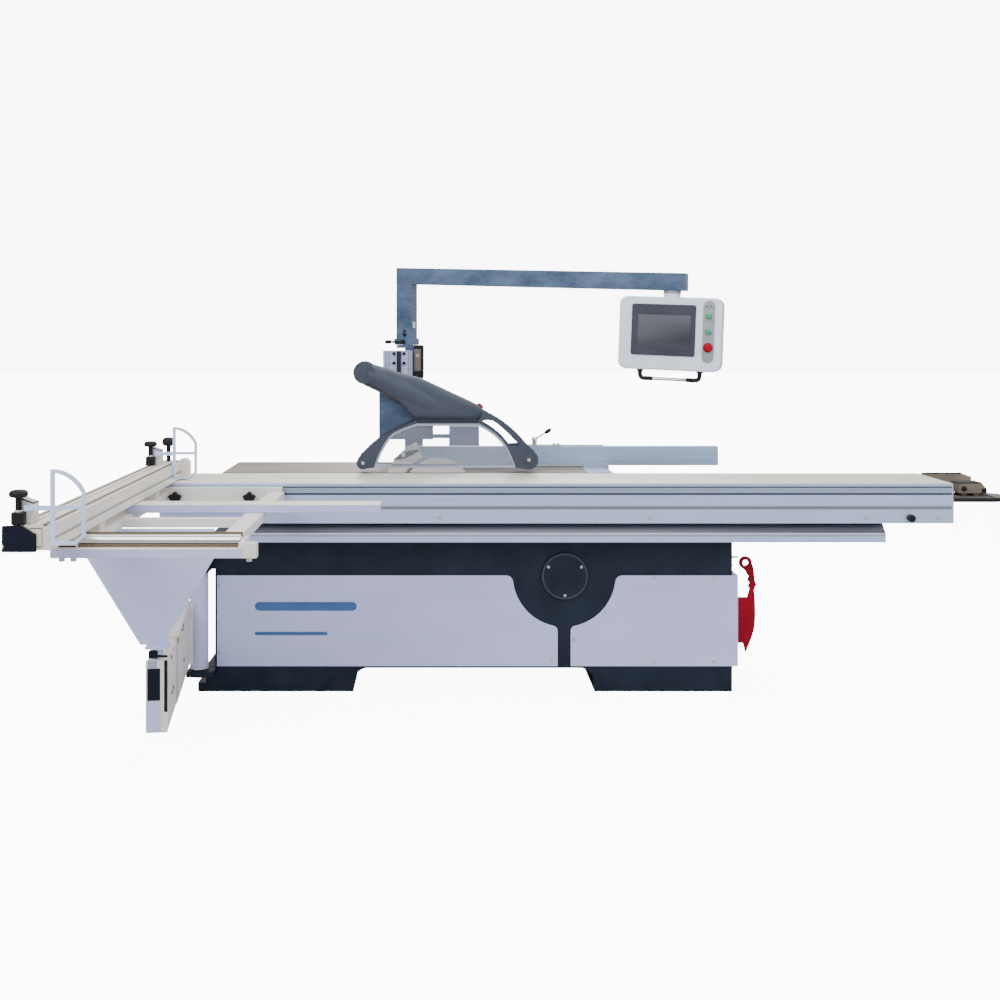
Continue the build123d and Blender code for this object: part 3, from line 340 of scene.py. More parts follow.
def plate(name, loops, y, thick, finish, body, bevel=0.0012, turn=None):
    """A flat plate in the XZ plane with its near face at y, cut from closed outlines (the rest are holes)."""
    curve = bpy.data.curves.new(name, "CURVE")
    curve.dimensions = "2D"
    curve.fill_mode = "BOTH"
    curve.extrude = thick / 2 - bevel
    curve.bevel_depth = bevel
    curve.offset = -bevel
    for loop in loops:
        spline = curve.splines.new("POLY")
        spline.points.add(len(loop) - 1)
        for point, (x, z) in zip(spline.points, loop):
            point.co = (x, z, 0, 1)
        spline.use_cyclic_u = True
    drawn = bpy.data.objects.new(name, curve)
    bpy.context.scene.collection.objects.link(drawn)
    bpy.context.view_layer.update()
    data = bpy.data.meshes.new_from_object(drawn.evaluated_get(bpy.context.evaluated_depsgraph_get()))
    bpy.data.objects.remove(drawn)
    stand = Matrix.Translation((0, y + thick / 2, 0)) @ Matrix.Rotation(math.radians(90), 4, "X")
    data.transform(turn @ stand if turn else stand)
    return piece(bpy.data.objects.new(name, data), finish, body, smooth=False)


def arc(centre, radius, start, end, steps=16):
    """Points on a circle, angles in degrees, anticlockwise from +X."""
    return [(centre[0] + radius * math.cos(math.radians(start + (end - start) * i / steps)),
             centre[1] + radius * math.sin(math.radians(start + (end - start) * i / steps)))
            for i in range(steps + 1)]


def smooth_line(points, per_span=8):
    """A Catmull-Rom curve through open points."""
    out = []
    padded = [points[0]] + list(points) + [points[-1]]
    for a, b, c, d in zip(padded, padded[1:], padded[2:], padded[3:]):
        for i in range(per_span):
            t = i / per_span
            out.append(tuple(0.5 * (2 * q + (r - p) * t + (2 * p - 5 * q + 4 * r - s) * t * t
                                    + (3 * q - p - 3 * r + s) * t ** 3) for p, q, r, s in zip(a, b, c, d)))
    out.append(tuple(points[-1]))
    return out


def loft(name, rings, finish, body, caps=True, subdivide=0):
    """A skin over rings that have the same number of points."""
    count = len(rings[0])
    verts = [v for section in rings for v in section]
    faces = [(i * count + j, i * count + (j + 1) % count, (i + 1) * count + (j + 1) % count,
              (i + 1) * count + j) for i in range(len(rings) - 1) for j in range(count)]
    if caps:
        faces.append(tuple(reversed(range(count))))
        faces.append(tuple((len(rings) - 1) * count + j for j in range(count)))
    obj = piece(mesh_object(name, verts, faces), finish, body)
    if subdivide:
        obj.modifiers.new("round", "SUBSURF").levels = subdivide
        obj.modifiers["round"].render_levels = subdivide
    return obj


def rounded(cx, cz, width, height, radius):
    """A rounded rectangle's outline."""
    w, h = width / 2 - radius, height / 2 - radius
    return (arc((cx + w, cz + h), radius, 0, 90, 6) + arc((cx - w, cz + h), radius, 90, 180, 6)
            + arc((cx - w, cz - h), radius, 180, 270, 6) + arc((cx + w, cz - h), radius, 270, 360, 6))


def ring(name, inner, outer, height, origin, axis, finish, body):
    """A lathed washer with rounded corners."""
    tip = 0.0006
    profile = [(inner, 0), (outer, 0), (outer, height - tip), (outer - tip, height), (inner + tip, height),
               (inner, height - tip)]
    frame_turn = Vector(axis).to_track_quat("Z", "Y").to_matrix()
    rings = []
    steps = 40
    for step in range(steps):
        angle = 2 * math.pi * step / steps
        rings.append([Vector(origin) + frame_turn @ Vector((r * math.cos(angle), r * math.sin(angle), h))
                      for r, h in profile])
    rings.append(rings[0])
    obj = loft(name, rings, finish, body, caps=False)
    weld = obj.modifiers.new("weld", "WELD")
    weld.merge_threshold = 0.00001
    return obj


def tube(name, path, radius, side, finish, body, steps=20):
    """A round bar along a path in one plane; side is that plane's normal."""
    path = [Vector(p) for p in path]
    side = Vector(side).normalized()
    rings = []
    for i, point in enumerate(path):
        run = (path[min(i + 1, len(path) - 1)] - path[max(i - 1, 0)]).normalized()
        up = run.cross(side)
        rings.append([point + radius * (math.cos(2 * math.pi * k / steps) * side
                                        + math.sin(2 * math.pi * k / steps) * up) for k in range(steps)])
    return loft(name, rings, finish, body)


# ---------------------------------------------------------------- overhead guard
GUARD_LOBES = {"left": ((-0.4526, 0.9165), 0.028), "right": ((0.2633, 0.9308), 0.042)}   # centre and radius
DUCT_X, DUCT_Z = -0.449, 1.305
BUTTON_TILT = math.radians(42)


def guard():
    """Moulded hood with its duct, strutted side frames, window rims and screws."""
    low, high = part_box("guard_hood")
    mid_y = (low.y + high.y) / 2
    hood_shell(mid_y)
    guard_sides(low, high)
    duct_end()
    knife_details()
    guard_screws(low)
    hood_button()


def hood_shell(mid_y):
    """The moulded hood and the swelling of the duct along it."""
    body, slot = "guard", "slate_plastic"
    outline = smooth_line([(-0.449, 1.351, 1.259), (-0.428, 1.343, 1.249), (-0.391, 1.333, 1.226),
                           (-0.340, 1.320, 1.198), (-0.284, 1.302, 1.160), (-0.232, 1.289, 1.100),
                           (-0.191, 1.276, 1.093), (-0.081, 1.225, 1.093), (0.032, 1.172, 1.093),
                           (0.062, 1.152, 1.095), (0.086, 1.126, 1.102)], 4)
    rings = []
    for x, top, bottom in outline:
        along = min(1, max(0, (x + 0.462) / 0.23))
        wide = 0.047 + 0.012 * along - 0.016 * max(0, (x + 0.05) / 0.136)
        power = 2 + 2.2 * along
        section = []
        for step in range(40):
            angle = 2 * math.pi * step / 40
            c, s = math.cos(angle), math.sin(angle)
            section.append((x, mid_y + wide * math.copysign(abs(c) ** (2 / power), c),
                         (top + bottom) / 2 + (top - bottom) / 2 * math.copysign(abs(s) ** (2 / power), s)))
        rings.append(section)
    hood = loft("hood_shell", rings, "slate_plastic", body)
    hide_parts("guard_hood")
    swell = []
    for x, z, radius in smooth_line([(-0.44, 1.299, 0.047), (-0.36, 1.268, 0.054), (-0.27, 1.226, 0.062),
            (-0.19, 1.186, 0.063), (-0.13, 1.157, 0.052), (-0.098, 1.143, 0.030)], 4):
        swell.append([(x + 0.32 * radius * math.sin(2 * math.pi * i / 32),
                       mid_y + 1.08 * radius * math.cos(2 * math.pi * i / 32),
                       z + radius * math.sin(2 * math.pi * i / 32)) for i in range(32)])
    loft("hood_duct_swell", swell, "slate_plastic", body)


def guard_sides(low, high):
    """Front and rear side frames, each with a light window rim and a dark lip under the hood."""
    body, slot = "guard", "slate_plastic"
    (left, left_radius), (right, right_radius) = GUARD_LOBES["left"], GUARD_LOBES["right"]
    thick = 0.006
    rise = smooth_line([(-0.4746, 0.9385), (-0.4306, 0.9825), (-0.3755, 1.0266), (-0.3259, 1.0541),
                        (-0.2764, 1.0784), (-0.2213, 1.1004)], 4)
    fall = smooth_line([(0.065, 1.144), (0.153, 1.093), (0.219, 1.038), (0.269, 0.983), (0.292, 0.960)], 5)
    arch = (smooth_line([(0.2082, 0.8966), (0.1807, 0.966), (0.1476, 1.0178), (0.1036, 1.0563),
                         (0.0485, 1.0884)], 5)
            + smooth_line([(-0.2213, 1.0884), (-0.3259, 1.0443), (-0.381, 0.966), (-0.4063, 0.8966)], 5))
    outer_loop = (rise + [(0.0485, 1.1004), (0.060, 1.122)] + fall + arc(right, right_radius, 40, -95) + arch
                  + arc(left, left_radius, -60, -215))
    hole = (smooth_line([(0.066, 1.1005), (0.109, 1.0982), (0.164, 1.0541), (0.208, 1.0101),
                         (0.228, 0.9925)], 4)
            + smooth_line([(0.184, 0.9902), (0.153, 1.0266), (0.109, 1.0635), (0.066, 1.0895)], 4))
    inner = (smooth_line([(0.197, 0.905), (0.170, 0.966), (0.139, 1.010), (0.097, 1.047), (0.046, 1.077)], 5)
             + smooth_line([(-0.219, 1.077), (-0.319, 1.035), (-0.371, 0.962), (-0.395, 0.905)], 5))
    for side, y in (("front", low.y), ("rear", high.y - thick)):
        plate(f"guard_side_{side}", [outer_loop, hole], y, thick, "slate_plastic", body)
        near = low.y + 0.002 if side == "front" else high.y - 0.013
        plate(f"window_rim_{side}", [arch, inner], near, 0.008, "rim_light", body, 0.0012)
        lip = low.y - 0.0012 if side == "front" else high.y - 0.001
        slab(f"hood_lip_{side}", (-0.2213, lip, 1.0925), (0.0485, lip + 0.0022, 1.0995), "rim_plastic",
             body, 0.0006)


def duct_end():
    """Domed front end of the dust duct and the dark seam round it."""
    body, slot = "guard", "slate_plastic"
    turned("duct_end", [(0.047, 0), (0.047, 0.082), (0.0455, 0.088), (0.041, 0.0935), (0.032, 0.0965),
                        (0.016, 0.0978)], (DUCT_X, 0.006, DUCT_Z), (0, -1, 0), "slate_plastic", body)
    ring("duct_rim", 0.0465, 0.0505, 0.010, (DUCT_X, -0.050, DUCT_Z), (0, -1, 0), "rim_plastic", body)


def knife_details():
    """Dark cover over the riving knife, with its screw, in the blade's plane."""
    plate("knife_cover",
          [smooth_line([(-0.3275, 0.925), (-0.300, 0.948), (-0.262, 0.966), (-0.209, 0.972)], 5)
           + smooth_line([(-0.215, 0.962), (-0.245, 0.945), (-0.280, 0.931), (-0.3275, 0.9245)], 5)],
          -0.0795, 0.003, "slate_plastic", "lift_unit", 0.0008)
    turned("knife_screw", [(0.006, 0), (0.006, 0.003), (0.004, 0.0042)], (-0.279, -0.0795, 0.9505),
           (0, -1, 0), "bright_steel", "lift_unit", 24)


def guard_screws(low):
    """A spacer, a boss and a screw at each lobe of the side frames."""
    body, slot = "guard", "slate_plastic"
    for name, (centre, radius) in GUARD_LOBES.items():
        turned(f"guard_spacer_{name}", [(0.014, 0), (0.016, 0.002), (0.016, 0.138), (0.014, 0.140)],
               (centre[0], low.y + 0.006, centre[1]), (0, 1, 0), "rim_plastic", body)
        turned(f"guard_boss_{name}", [(radius * 0.55, 0), (radius * 0.55, 0.002), (radius * 0.5, 0.003)],
               (centre[0], low.y, centre[1]), (0, -1, 0), "slate_plastic", body)
        turned(f"guard_screw_{name}", [(0.007, 0.003), (0.007, 0.006), (0.0045, 0.0072), (0.0045, 0.005)],
               (centre[0], low.y, centre[1]), (0, -1, 0), "zinc_steel", body, 24)


def hood_button():
    """Red release button in its collar, square to the hood's slope."""
    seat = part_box("hood_button")
    centre = (seat[0] + seat[1]) / 2
    up = Vector((math.sin(BUTTON_TILT), 0, math.cos(BUTTON_TILT)))
    turned("button_collar", [(0.0185, -0.006), (0.0185, 0.001), (0.0165, 0.003), (0.0155, 0.003),
                             (0.0155, -0.006)], centre, up, "rim_plastic", "guard")
    cap = turned("button_cap", [(0.010, -0.012), (0.0148, -0.010), (0.0148, 0.008), (0.013, 0.0115),
            (0.007, 0.0135)], centre, up, "red_plastic", "hood_button")
    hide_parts("hood_button")


# ---------------------------------------------------------------- fence, stops and knobs
MUSHROOM = [(0.0088, 0), (0.0088, 0.038), (0.0120, 0.0405), (0.0215, 0.0420), (0.0252, 0.0450),
            (0.0262, 0.0500), (0.0255, 0.0550), (0.0215, 0.0600), (0.0140, 0.0620), (0.0040, 0.0628)]


def flip_stop(place):
    """Cream shoe with a framed lens on its sloping top, black clamp foot and mushroom knob."""
    low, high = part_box(f"{place}_stop_shoe")
    edge, front = high.x, high.y - 0.045
    body = f"{place}_stop"
    shape = [(edge - 0.048, low.z), (edge, low.z), (edge, low.z + 0.0545), (edge - 0.048, low.z + 0.0725)]
    shoe = plate(f"{place}_shoe_block", [shape], front, 0.045, "cream_paint", body, 0.0015)
    slope = (Matrix.Translation((edge - 0.024, front + 0.0225, low.z + 0.0645))
             @ Matrix.Rotation(math.atan2(0.018, 0.048), 4, "Y"))
    slab(f"{place}_lens_frame", (-0.0255, -0.0220, -0.001), (0.0255, 0.0220, 0.0025), "bezel_plastic", body,
         0.0008, slope)
    slab(f"{place}_lens_glass", (-0.0215, -0.0185, 0.002), (0.0215, 0.0185, 0.0035), "cream_paint", body,
         0.0006, slope)
    for i in range(5):
        slab(f"{place}_lens_mark_{i}", (-0.0135 + 0.006 * i, -0.012, 0.0033),
             (-0.0125 + 0.006 * i, 0.004, 0.0038), "warm_brown", body, 0.0001, slope)
    slab(f"{place}_shoe_side", (edge - 0.0485, front + 0.003, low.z + 0.004),
         (edge - 0.0478, front + 0.042, low.z + 0.068), "frame_plastic", body, 0.0003)
    slab(f"{place}_clamp_foot", (edge - 0.056, front - 0.025, low.z), (edge - 0.020, front - 0.0006,
            low.z + 0.0347), "black_plastic", body, 0.003)
    origin = (edge - 0.038, front - 0.013, low.z + 0.0345)
    turned(f"{place}_clamp_knob", MUSHROOM, origin, (0, 0, 1), "black_plastic", body)
    turned(f"{place}_clamp_nut", [(0.012, 0), (0.012, 0.004), (0.010, 0.006)], origin, (0, 0, 1),
           "zinc_steel", body, 6)
    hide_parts(f"{place}_stop_shoe")


def fences():
    """Crosscut fence with its cap, scales and lock knob, then the rip fence."""
    crosscut_fence()
    fence_lock()
    rip_fence()


def crosscut_fence():
    """Black end cap, inlaid scales and the cap at the far end."""
    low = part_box("fence_extension")[0]
    left, right, foot, top = low.x, low.x + 0.092, low.z, low.z + 0.072
    cap = [(left, foot + 0.024), (left + 0.005, foot + 0.018), (left + 0.005, foot + 0.013),
           (left, foot + 0.008), (left, foot), (right, foot), (right, foot + 0.050), (right - 0.036, top),
           (left, top)]
    plate("fence_cap_cover", [cap], low.y - 0.0015, 0.014, "plinth_paint", "extension",
          0.0015)
    slab("fence_cap_core", (low.x + 0.034, low.y + 0.012, low.z + 0.0105), (low.x + 0.109, low.y + 0.016,
            low.z + 0.0655), "cream_anodised", "extension", 0.001)
    main_low, main_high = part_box("crosscut_fence")
    for i, (x, half) in enumerate(((-1.286, 0.004), (-1.258, 0.002), (-1.214, 0.0085))):
        slab(f"fence_scale_{i}", (x - half, main_low.y + 0.001, main_high.z - 0.0012),
             (x + half, main_high.y - 0.001, main_high.z + 0.0002), "warm_brown", "carriage",
             0.0002)
    slab("fence_side_line", (main_high.x - 0.0004, main_low.y + 0.002, 0.9005),
         (main_high.x + 0.0004, main_high.y - 0.002, 0.9035), "grey_strip", "carriage",
         0.0002)
    slab("fence_far_cap", (main_low.x - 0.001, main_high.y, main_low.z - 0.001),
         (main_high.x + 0.001, main_high.y + 0.006, main_high.z + 0.001), "black_plastic", "carriage")


def fence_lock():
    """Tall mushroom knob that clamps the fence extension."""
    low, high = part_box("fence_lock_knob")
    lock = turned("fence_lock_grip", [(r, h * 1.6) for r, h in MUSHROOM],
                  ((low.x + high.x) / 2, (low.y + high.y) / 2, low.z), (0, 0, 1), "black_plastic",
                  "fence_lock")
    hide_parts("fence_lock_knob")


def rip_fence():
    """Clamp lever with its grip, and the caps at the ends of the bar."""
    low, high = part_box("rip_fence_lever")
    hub = (low.x + 0.012, (low.y + high.y) / 2, low.z)
    reach = Vector((0.85, 0, 0.53)).normalized()
    lever = turned("rip_lever_hub", [(0.012, 0), (0.012, 0.017), (0.010, 0.020), (0.004, 0.0205)], hub,
                   (0, 0, 1), "bright_steel", "rip_lever")
    turned("rip_lever_arm", [(0.005, 0), (0.0042, 0.052)], Vector(hub) + Vector((0.004, 0, 0.010)), reach,
           "bright_steel", "rip_lever", 24)
    turned("rip_lever_grip", [(0.003, 0), (0.0075, 0.004), (0.0092, 0.014), (0.0088, 0.026),
                              (0.005, 0.034), (0.002, 0.0355)], Vector(hub) + Vector((0.004, 0, 0.010))
           + reach * 0.050, reach, "black_plastic", "rip_lever", 32)
    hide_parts("rip_fence_lever")
    low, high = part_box("rip_fence_bar")
    for name, x in (("left", low.x - 0.003), ("right", high.x)):
        slab(f"rip_bar_cap_{name}", (x, low.y, low.z), (x + 0.003, high.y, high.z), "grey_strip", "rip_fence",
             0.001)


# ---------------------------------------------------------------- control pendant and mast
TURN = math.radians(20)
MAST = Matrix.Translation((-0.286, 0.700, 0)) @ Matrix.Rotation(-TURN, 4, "Z")
MAST_FRONT = MAST.to_3x3() @ Vector((0, -1, 0))
NECK, NECK_Z = 1.320, 1.6755
FACE_Y = -0.045
LEAN = math.atan2(52, 1387)          # the pendant hangs square to the drooping beam
HANG = (MAST @ Matrix.Translation((NECK, 0, NECK_Z)) @ Matrix.Rotation(LEAN, 4, "Y")
        @ Matrix.Translation((-NECK, 0, -NECK_Z)))


def pendant():
    """The control pendant, then the small parts on the mast and the column."""
    pendant_screen()
    pendant_buttons()
    pendant_handle()
    pendant_back()
    mast_details()
    column_bracket()
    column_rail()


def pendant_screen():
    """Screen with its dark bezel."""
    body = "pendant"
    screen = rounded(NECK - 0.025, 1.489, 0.243, 0.150, 0.004)
    bezel = plate("screen_bezel", [rounded(NECK - 0.028, 1.492, 0.293, 0.236, 0.010), screen],
                  FACE_Y - 0.0045, 0.0045, "bezel_plastic", body, 0.0008, HANG)
    plate("screen_face", [screen], FACE_Y - 0.0022, 0.002, "screen_glass", body, 0.0004, HANG)
    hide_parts("screen")


def pendant_buttons():
    """Grey strip with two green buttons, the red stop and two lamps; a pressed cap clears its collar."""
    body = "pendant"
    x = NECK + 0.177
    strip_y = FACE_Y - 0.0028
    plate("button_strip", [rounded(x, 1.490, 0.053, 0.283, 0.0255)], strip_y, 0.0028, "grey_strip", body,
          0.0008, HANG)
    for name, z, radius in (("start_button", 1.561, 0.012), ("reset_button", 1.490, 0.012),
                            ("emergency_stop", 1.419, 0.021)):
        seat = HANG @ Vector((x, strip_y, z))
        ring(f"{name}_collar", radius + 0.0008, radius + 0.0035, 0.0045, seat, MAST_FRONT, "zinc_steel",
             body)
        crown = 0.012 if name == "emergency_stop" else 0.006
        profile = [(radius * 0.60, 0.0046), (radius * 0.62, 0.0062), (radius, 0.0075),
                   (radius, 0.0075 + crown * 0.5), (radius * 0.82, 0.0075 + crown * 0.85),
                   (radius * 0.4, 0.0075 + crown)]
        colour = "red_plastic" if name == "emergency_stop" else "green_plastic"
        cap = turned(f"{name}_cap", profile, seat, MAST_FRONT, colour, name)
        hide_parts(name)
    for i in (-1, 1):
        turned(f"pilot_lamp_{i + 1}", [(0.005, 0), (0.005, 0.002), (0.003, 0.0035)], HANG
               @ Vector((x + 0.010 * i, strip_y, 1.606)), MAST_FRONT, "shade_grey", body,
               24)


def pendant_handle():
    """Bent black ends with a bright grip between them."""
    body = "pendant"
    reach, y, grip_z = 0.1375, 0.005, 1.265
    bend = [(reach, 1.3085), (reach, 1.290), (0.1365, 1.279), (0.132, 1.270), (0.124, 1.2655),
            (0.112, grip_z), (0.078, grip_z)]
    for name, side in (("left", -1), ("right", 1)):
        end = tube(f"handle_end_{name}", [HANG @ Vector((NECK + side * px, y, pz)) for px, pz in bend],
                   0.0105, -MAST_FRONT, "black_plastic", body)
        turned(f"handle_foot_{name}", [(0.016, 0), (0.016, 0.004), (0.013, 0.008)],
               HANG @ Vector((NECK + side * reach, y, 1.3070)), HANG.to_3x3() @ Vector((0, 0, -1)),
               "black_plastic", body)
    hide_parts("pendant_handle")
    turned("handle_grip", [(0.0075, 0), (0.008, 0.002), (0.008, 0.162), (0.0075, 0.164)],
           HANG @ Vector((NECK - 0.082, y, grip_z)), HANG.to_3x3() @ Vector((1, 0, 0)), "bright_steel", body)
    turned("neck_collar", [(0.039, -0.014), (0.040, -0.012), (0.040, -0.002), (0.038, 0.0)],
           MAST @ Vector((NECK, 0, NECK_Z)), HANG.to_3x3() @ Vector((0, 0, 1)), "grey_strip", "mast")


def pendant_back():
    """Seam round the case, and the rear lid with its louvres and screws."""
    body = "pendant"
    lid_y = 0.0470
    slab("case_seam", (NECK - 0.2348, 0.012, 1.345), (NECK + 0.2348, 0.0135, 1.607), "grey_strip", body,
         0.0003, HANG)
    slab("pendant_lid", (NECK - 0.190, 0.0446, 1.340), (NECK + 0.190, lid_y, 1.612), "white_plastic", body,
         0.001, HANG)
    for i in range(6):
        slab(f"pendant_louvre_{i}", (NECK - 0.060, 0.0466, 1.380 + 0.012 * i),
             (NECK + 0.060, 0.0473, 1.385 + 0.012 * i), "rim_plastic", body, 0.0002,
             HANG)
    for i, (x, z) in enumerate(((x, z) for x in (-0.176, 0.176) for z in (1.354, 1.598))):
        turned(f"lid_screw_{i}", [(0.005, 0), (0.005, 0.0015), (0.003, 0.0025)],
               HANG @ Vector((NECK + x, lid_y, z)), -MAST_FRONT, "zinc_steel", body, 24)


def mast_details():
    """Two dark keys and a plain tag on the mast's post."""
    for i, z in enumerate((1.472, 1.490)):
        turned(f"post_key_{i}", [(0.010 - 0.003 * i, 0), (0.010 - 0.003 * i, 0.0012)],
               MAST @ Vector((0.004, -0.0402, z)), MAST_FRONT, "black_plastic", "mast", 24)
    slab("post_tag", (0.0402, -0.020, 1.505), (0.041, 0.012, 1.535), "white_plastic", "mast",
         0.0003, MAST)


def column_bracket():
    """Black C-shaped bracket round a casting, beside the guide."""
    for i, (a, b) in enumerate((((-0.248, 1.404), (-0.200, 1.420)), ((-0.213, 1.2595), (-0.200, 1.405)),
                                ((-0.248, 1.2595), (-0.212, 1.291)))):
        slab(f"c_bracket_{i}", (a[0], 0.634, a[1]), (b[0], 0.6545, b[1]), "black_plastic", "machine",
             0.002)
    slab("bracket_casting", (-0.248, 0.640, 1.291), (-0.213, 0.6545, 1.404), "tray_metal", "machine",
         0.003)
    turned("bracket_hole", [(0.009, 0), (0.009, 0.0015), (0.006, 0.002)], (-0.232, 0.640, 1.365), (0, -1, 0),
           "zinc_steel", "machine", 24)


def column_rail():
    """Dark strip, painted shade in the side grooves, and bolts of the guard's lifting guide."""
    low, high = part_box("column_guide")
    middle = -0.322
    slab("guide_strip", (middle - 0.0108, 0.5974, low.z + 0.005), (middle + 0.0108, 0.599, high.z - 0.002),
         "rim_plastic", "machine", 0.0003)
    # Painted shade: dark strips in the guide's side grooves.
    for i, x in enumerate((-0.372, -0.386, -0.276, -0.264)):
        slab(f"guide_groove_shade_{i}", (x - 0.002, 0.6142, low.z + 0.004), (x + 0.002, 0.616, high.z - 0.001),
             "shade_grey", "machine", 0.0002)
    for i, (x, z) in enumerate(((x, z) for z in (1.040, 1.332, 1.379) for x in (-0.347, -0.297))):
        turned(f"guide_bolt_{i}", [(0.0078, 0), (0.0078, 0.007), (0.0045, 0.008), (0.0045, 0.004)],
               (x, 0.6085, z), (0, -1, 0), "black_plastic", "machine", 24)


# ---------------------------------------------------------------- base, tables, tray and arm
def table_details():
    """Small parts of the table, the beam under it, the end tray and the base's front."""
    table_front()
    beam_face()
    end_cover()
    tray()
    badge()
    push_stick()
    disc_rim()


def table_front():
    """Painted shade in the grooves, the band between them and the cove along the sliding table's front, its
    pale top either side of the slot, and painted shade in that slot.
    """
    low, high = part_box("sliding_table")
    for i, z in enumerate((0.8555, 0.8285)):
        # Painted shade: dark strips in the two front grooves.
        slab(f"table_groove_shade_{i}", (low.x + 0.006, low.y - 0.0004, z - 0.0026),
             (high.x - 0.006, low.y + 0.004, z + 0.0026), "rim_plastic", "carriage",
             0.0003)
    # Painted shade: a darker band across the recess between the grooves.
    slab("table_band_shade", (low.x + 0.006, low.y - 0.0003, 0.8315), (high.x - 0.006, low.y + 0.001, 0.8525),
         "band_grey", "carriage", 0.0002)
    # Painted shade: grey bands in the concave step above the skirt, darkest in the middle.
    for name, bottom, top, finish in (("wide", 0.764, 0.781, "band_grey"),
            ("deep", 0.7675, 0.7765, "shade_grey")):
        lift = 0.0003 if name == "wide" else 0.0006
        slab(f"table_cove_shade_{name}", (low.x + 0.006, low.y - lift, bottom), (high.x - 0.006, low.y + 0.001,
                top), finish, "carriage", 0.0002)
    for i, (a, b) in enumerate(((low.y + 0.0006, -0.2625), (-0.2495, high.y - 0.001))):
        slab(f"table_skin_{i}", (low.x + 0.002, a, 0.8696), (high.x - 0.004, b, 0.8705), "cream_anodised",
             "carriage", 0.0004)
    # Painted shade: a dark strip at the bottom of the T-slot on the top.
    slab("table_t_slot_shade", (low.x + 0.006, -0.2615, 0.862), (high.x - 0.006, -0.2505, 0.8632),
         "rim_plastic", "carriage", 0.0002)


def beam_face():
    """Painted shade on the fixed beam's sloping face, a painted highlight on its front edge and a painted
    shade band under that.
    """
    low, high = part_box("fixed_beam")
    slope = [(-0.4508, 0.6700), (-0.4506, 0.6665), (-0.4104, 0.7015), (-0.4110, 0.7030)]
    # Painted shade: a grey skin over the sloping face, which lies in the shade of the table above.
    loft("beam_shade", [[(x, y, z) for y, z in slope] for x in (low.x + 0.001, high.x - 0.001)], "shade_grey",
         "machine")
    # Painted highlight: a white strip along the beam's front edge.
    slab("beam_painted_highlight", (low.x + 0.001, -0.4509, 0.6655), (high.x - 0.001, -0.4490, 0.6690), "white_plastic",
         "machine", 0.0003)
    # Painted shade: a grey band across the top of the beam's front face.
    slab("beam_painted_shade_band", (low.x + 0.001, -0.4506, 0.6560), (high.x - 0.001, -0.4495, 0.6672), "band_grey",
         "machine", 0.0002)


def end_cover():
    """Black plate on the operator's end of the sliding table."""
    low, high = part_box("sliding_table")
    sideways = Matrix.Rotation(math.radians(90), 4, "Z")
    profile = [(low.y, 0.709), (-0.277, 0.709), (-0.142, 0.846), (-0.092, 0.864), (-0.092, 0.869),
               (low.y, 0.869)]
    plate("table_end_cover", [profile], -high.x - 0.0022, 0.0022, "black_plastic", "carriage",
          0.0006, sideways)


def tray():
    """Rubber edge and mat of the round-ended tray, and the block and plate behind it."""
    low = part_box("end_tray")[0]
    cx, cy, radius = 2.110, -0.3565, 0.0935
    start = low.x + 0.004

    def outline(r):
        return [(start, cy - r)] + arc((cx, cy), r, -90, 90, 24) + [(start, cy + r)]

    for name, grow, inset, thick, z, finish in (("tray_rubber", 0.002, 0.010, 0.016, 0.7945, "black_plastic"),
                                                ("tray_mat", -0.012, None, 0.0022, 0.8025, "tray_dark")):
        loops = [outline(radius + grow)] + ([outline(radius - inset)] if inset else [])
        flat = Matrix.Translation((0, 0, z + thick / 2)) @ Matrix.Rotation(math.radians(-90), 4, "X")
        plate(name, loops, -thick / 2, thick, finish, "carriage", 0.0008, flat)
    slab("tray_block_top", (2.020, -0.342, 0.8572), (2.118, -0.268, 0.8612), "black_plastic", "carriage",
         0.001)
    slab("tray_block_end", (2.1180, -0.3405, 0.8165), (2.1398, -0.2695, 0.8355), "black_plastic", "carriage",
         0.001)
    turned("tray_block_knob", [(0.010, 0), (0.010, 0.006), (0.006, 0.009)], (2.045, -0.340, 0.836),
           (0, -1, 0), "black_plastic", "carriage", 24)
    slab("tray_plate_edge", (low.x + 0.006, -0.128, 0.8725), (2.130, -0.116, 0.8765), "black_plastic",
         "carriage", 0.001)


def badge():
    """Two plain blue bars on the front panel."""
    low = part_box("front_panels")[0]
    for name, width, z, tall in (("upper", 0.42, 0.352, 0.036), ("lower", 0.30, 0.240, 0.014)):
        plate(f"badge_bar_{name}", [rounded(-0.883 + width / 2, z, width, tall, tall / 2.01)],
              low.y - 0.0008, 0.0008, "badge_blue", "machine", 0.0002)


def push_stick():
    """Red push stick with finger waves, and the ribs of its pocket."""
    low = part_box("push_stick")[0]
    ring_centre = (1.177, 0.503)
    shape = (arc(ring_centre, 0.028, 215, -5, 18)
             + smooth_line([(1.2095, 0.488), (1.214, 0.460), (1.2165, 0.430), (1.2235, 0.411)], 4)
             + smooth_line([(1.214, 0.390), (1.219, 0.300), (1.212, 0.215), (1.177, 0.120)], 5)
             + smooth_line([(1.162, 0.180), (1.170, 0.277), (1.186, 0.362), (1.1935, 0.392),
                            (1.188, 0.405), (1.194, 0.418), (1.186, 0.431), (1.191, 0.444),
                            (1.182, 0.456), (1.1785, 0.468)], 4))
    stick = plate("push_stick_blade", [shape, arc(ring_centre, 0.0125, 0, 345, 23)], low.y, 0.010,
                  "red_plastic", "push_stick", 0.002)
    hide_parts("push_stick")
    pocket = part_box("push_stick_holder")[0].y
    for i in range(6):
        slab(f"pocket_rib_{i}", (1.1115, pocket - 0.0012, 0.178 + 0.030 * i),
             (1.1865, pocket + 0.001, 0.181 + 0.030 * i), "red_plastic", "machine", 0.0004)


def disc_rim():
    """Thin rim round the access disc."""
    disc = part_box("access_disc")
    centre = (disc[0] + disc[1]) / 2
    ring("disc_rim", 0.088, 0.0945, 0.0012, (centre.x, disc[0].y + 0.0002, centre.z), (0, -1, 0),
         "bezel_plastic", "machine")


ARM_X, ARM_Y = -1.1045, -0.390        # the swing arm's hinge


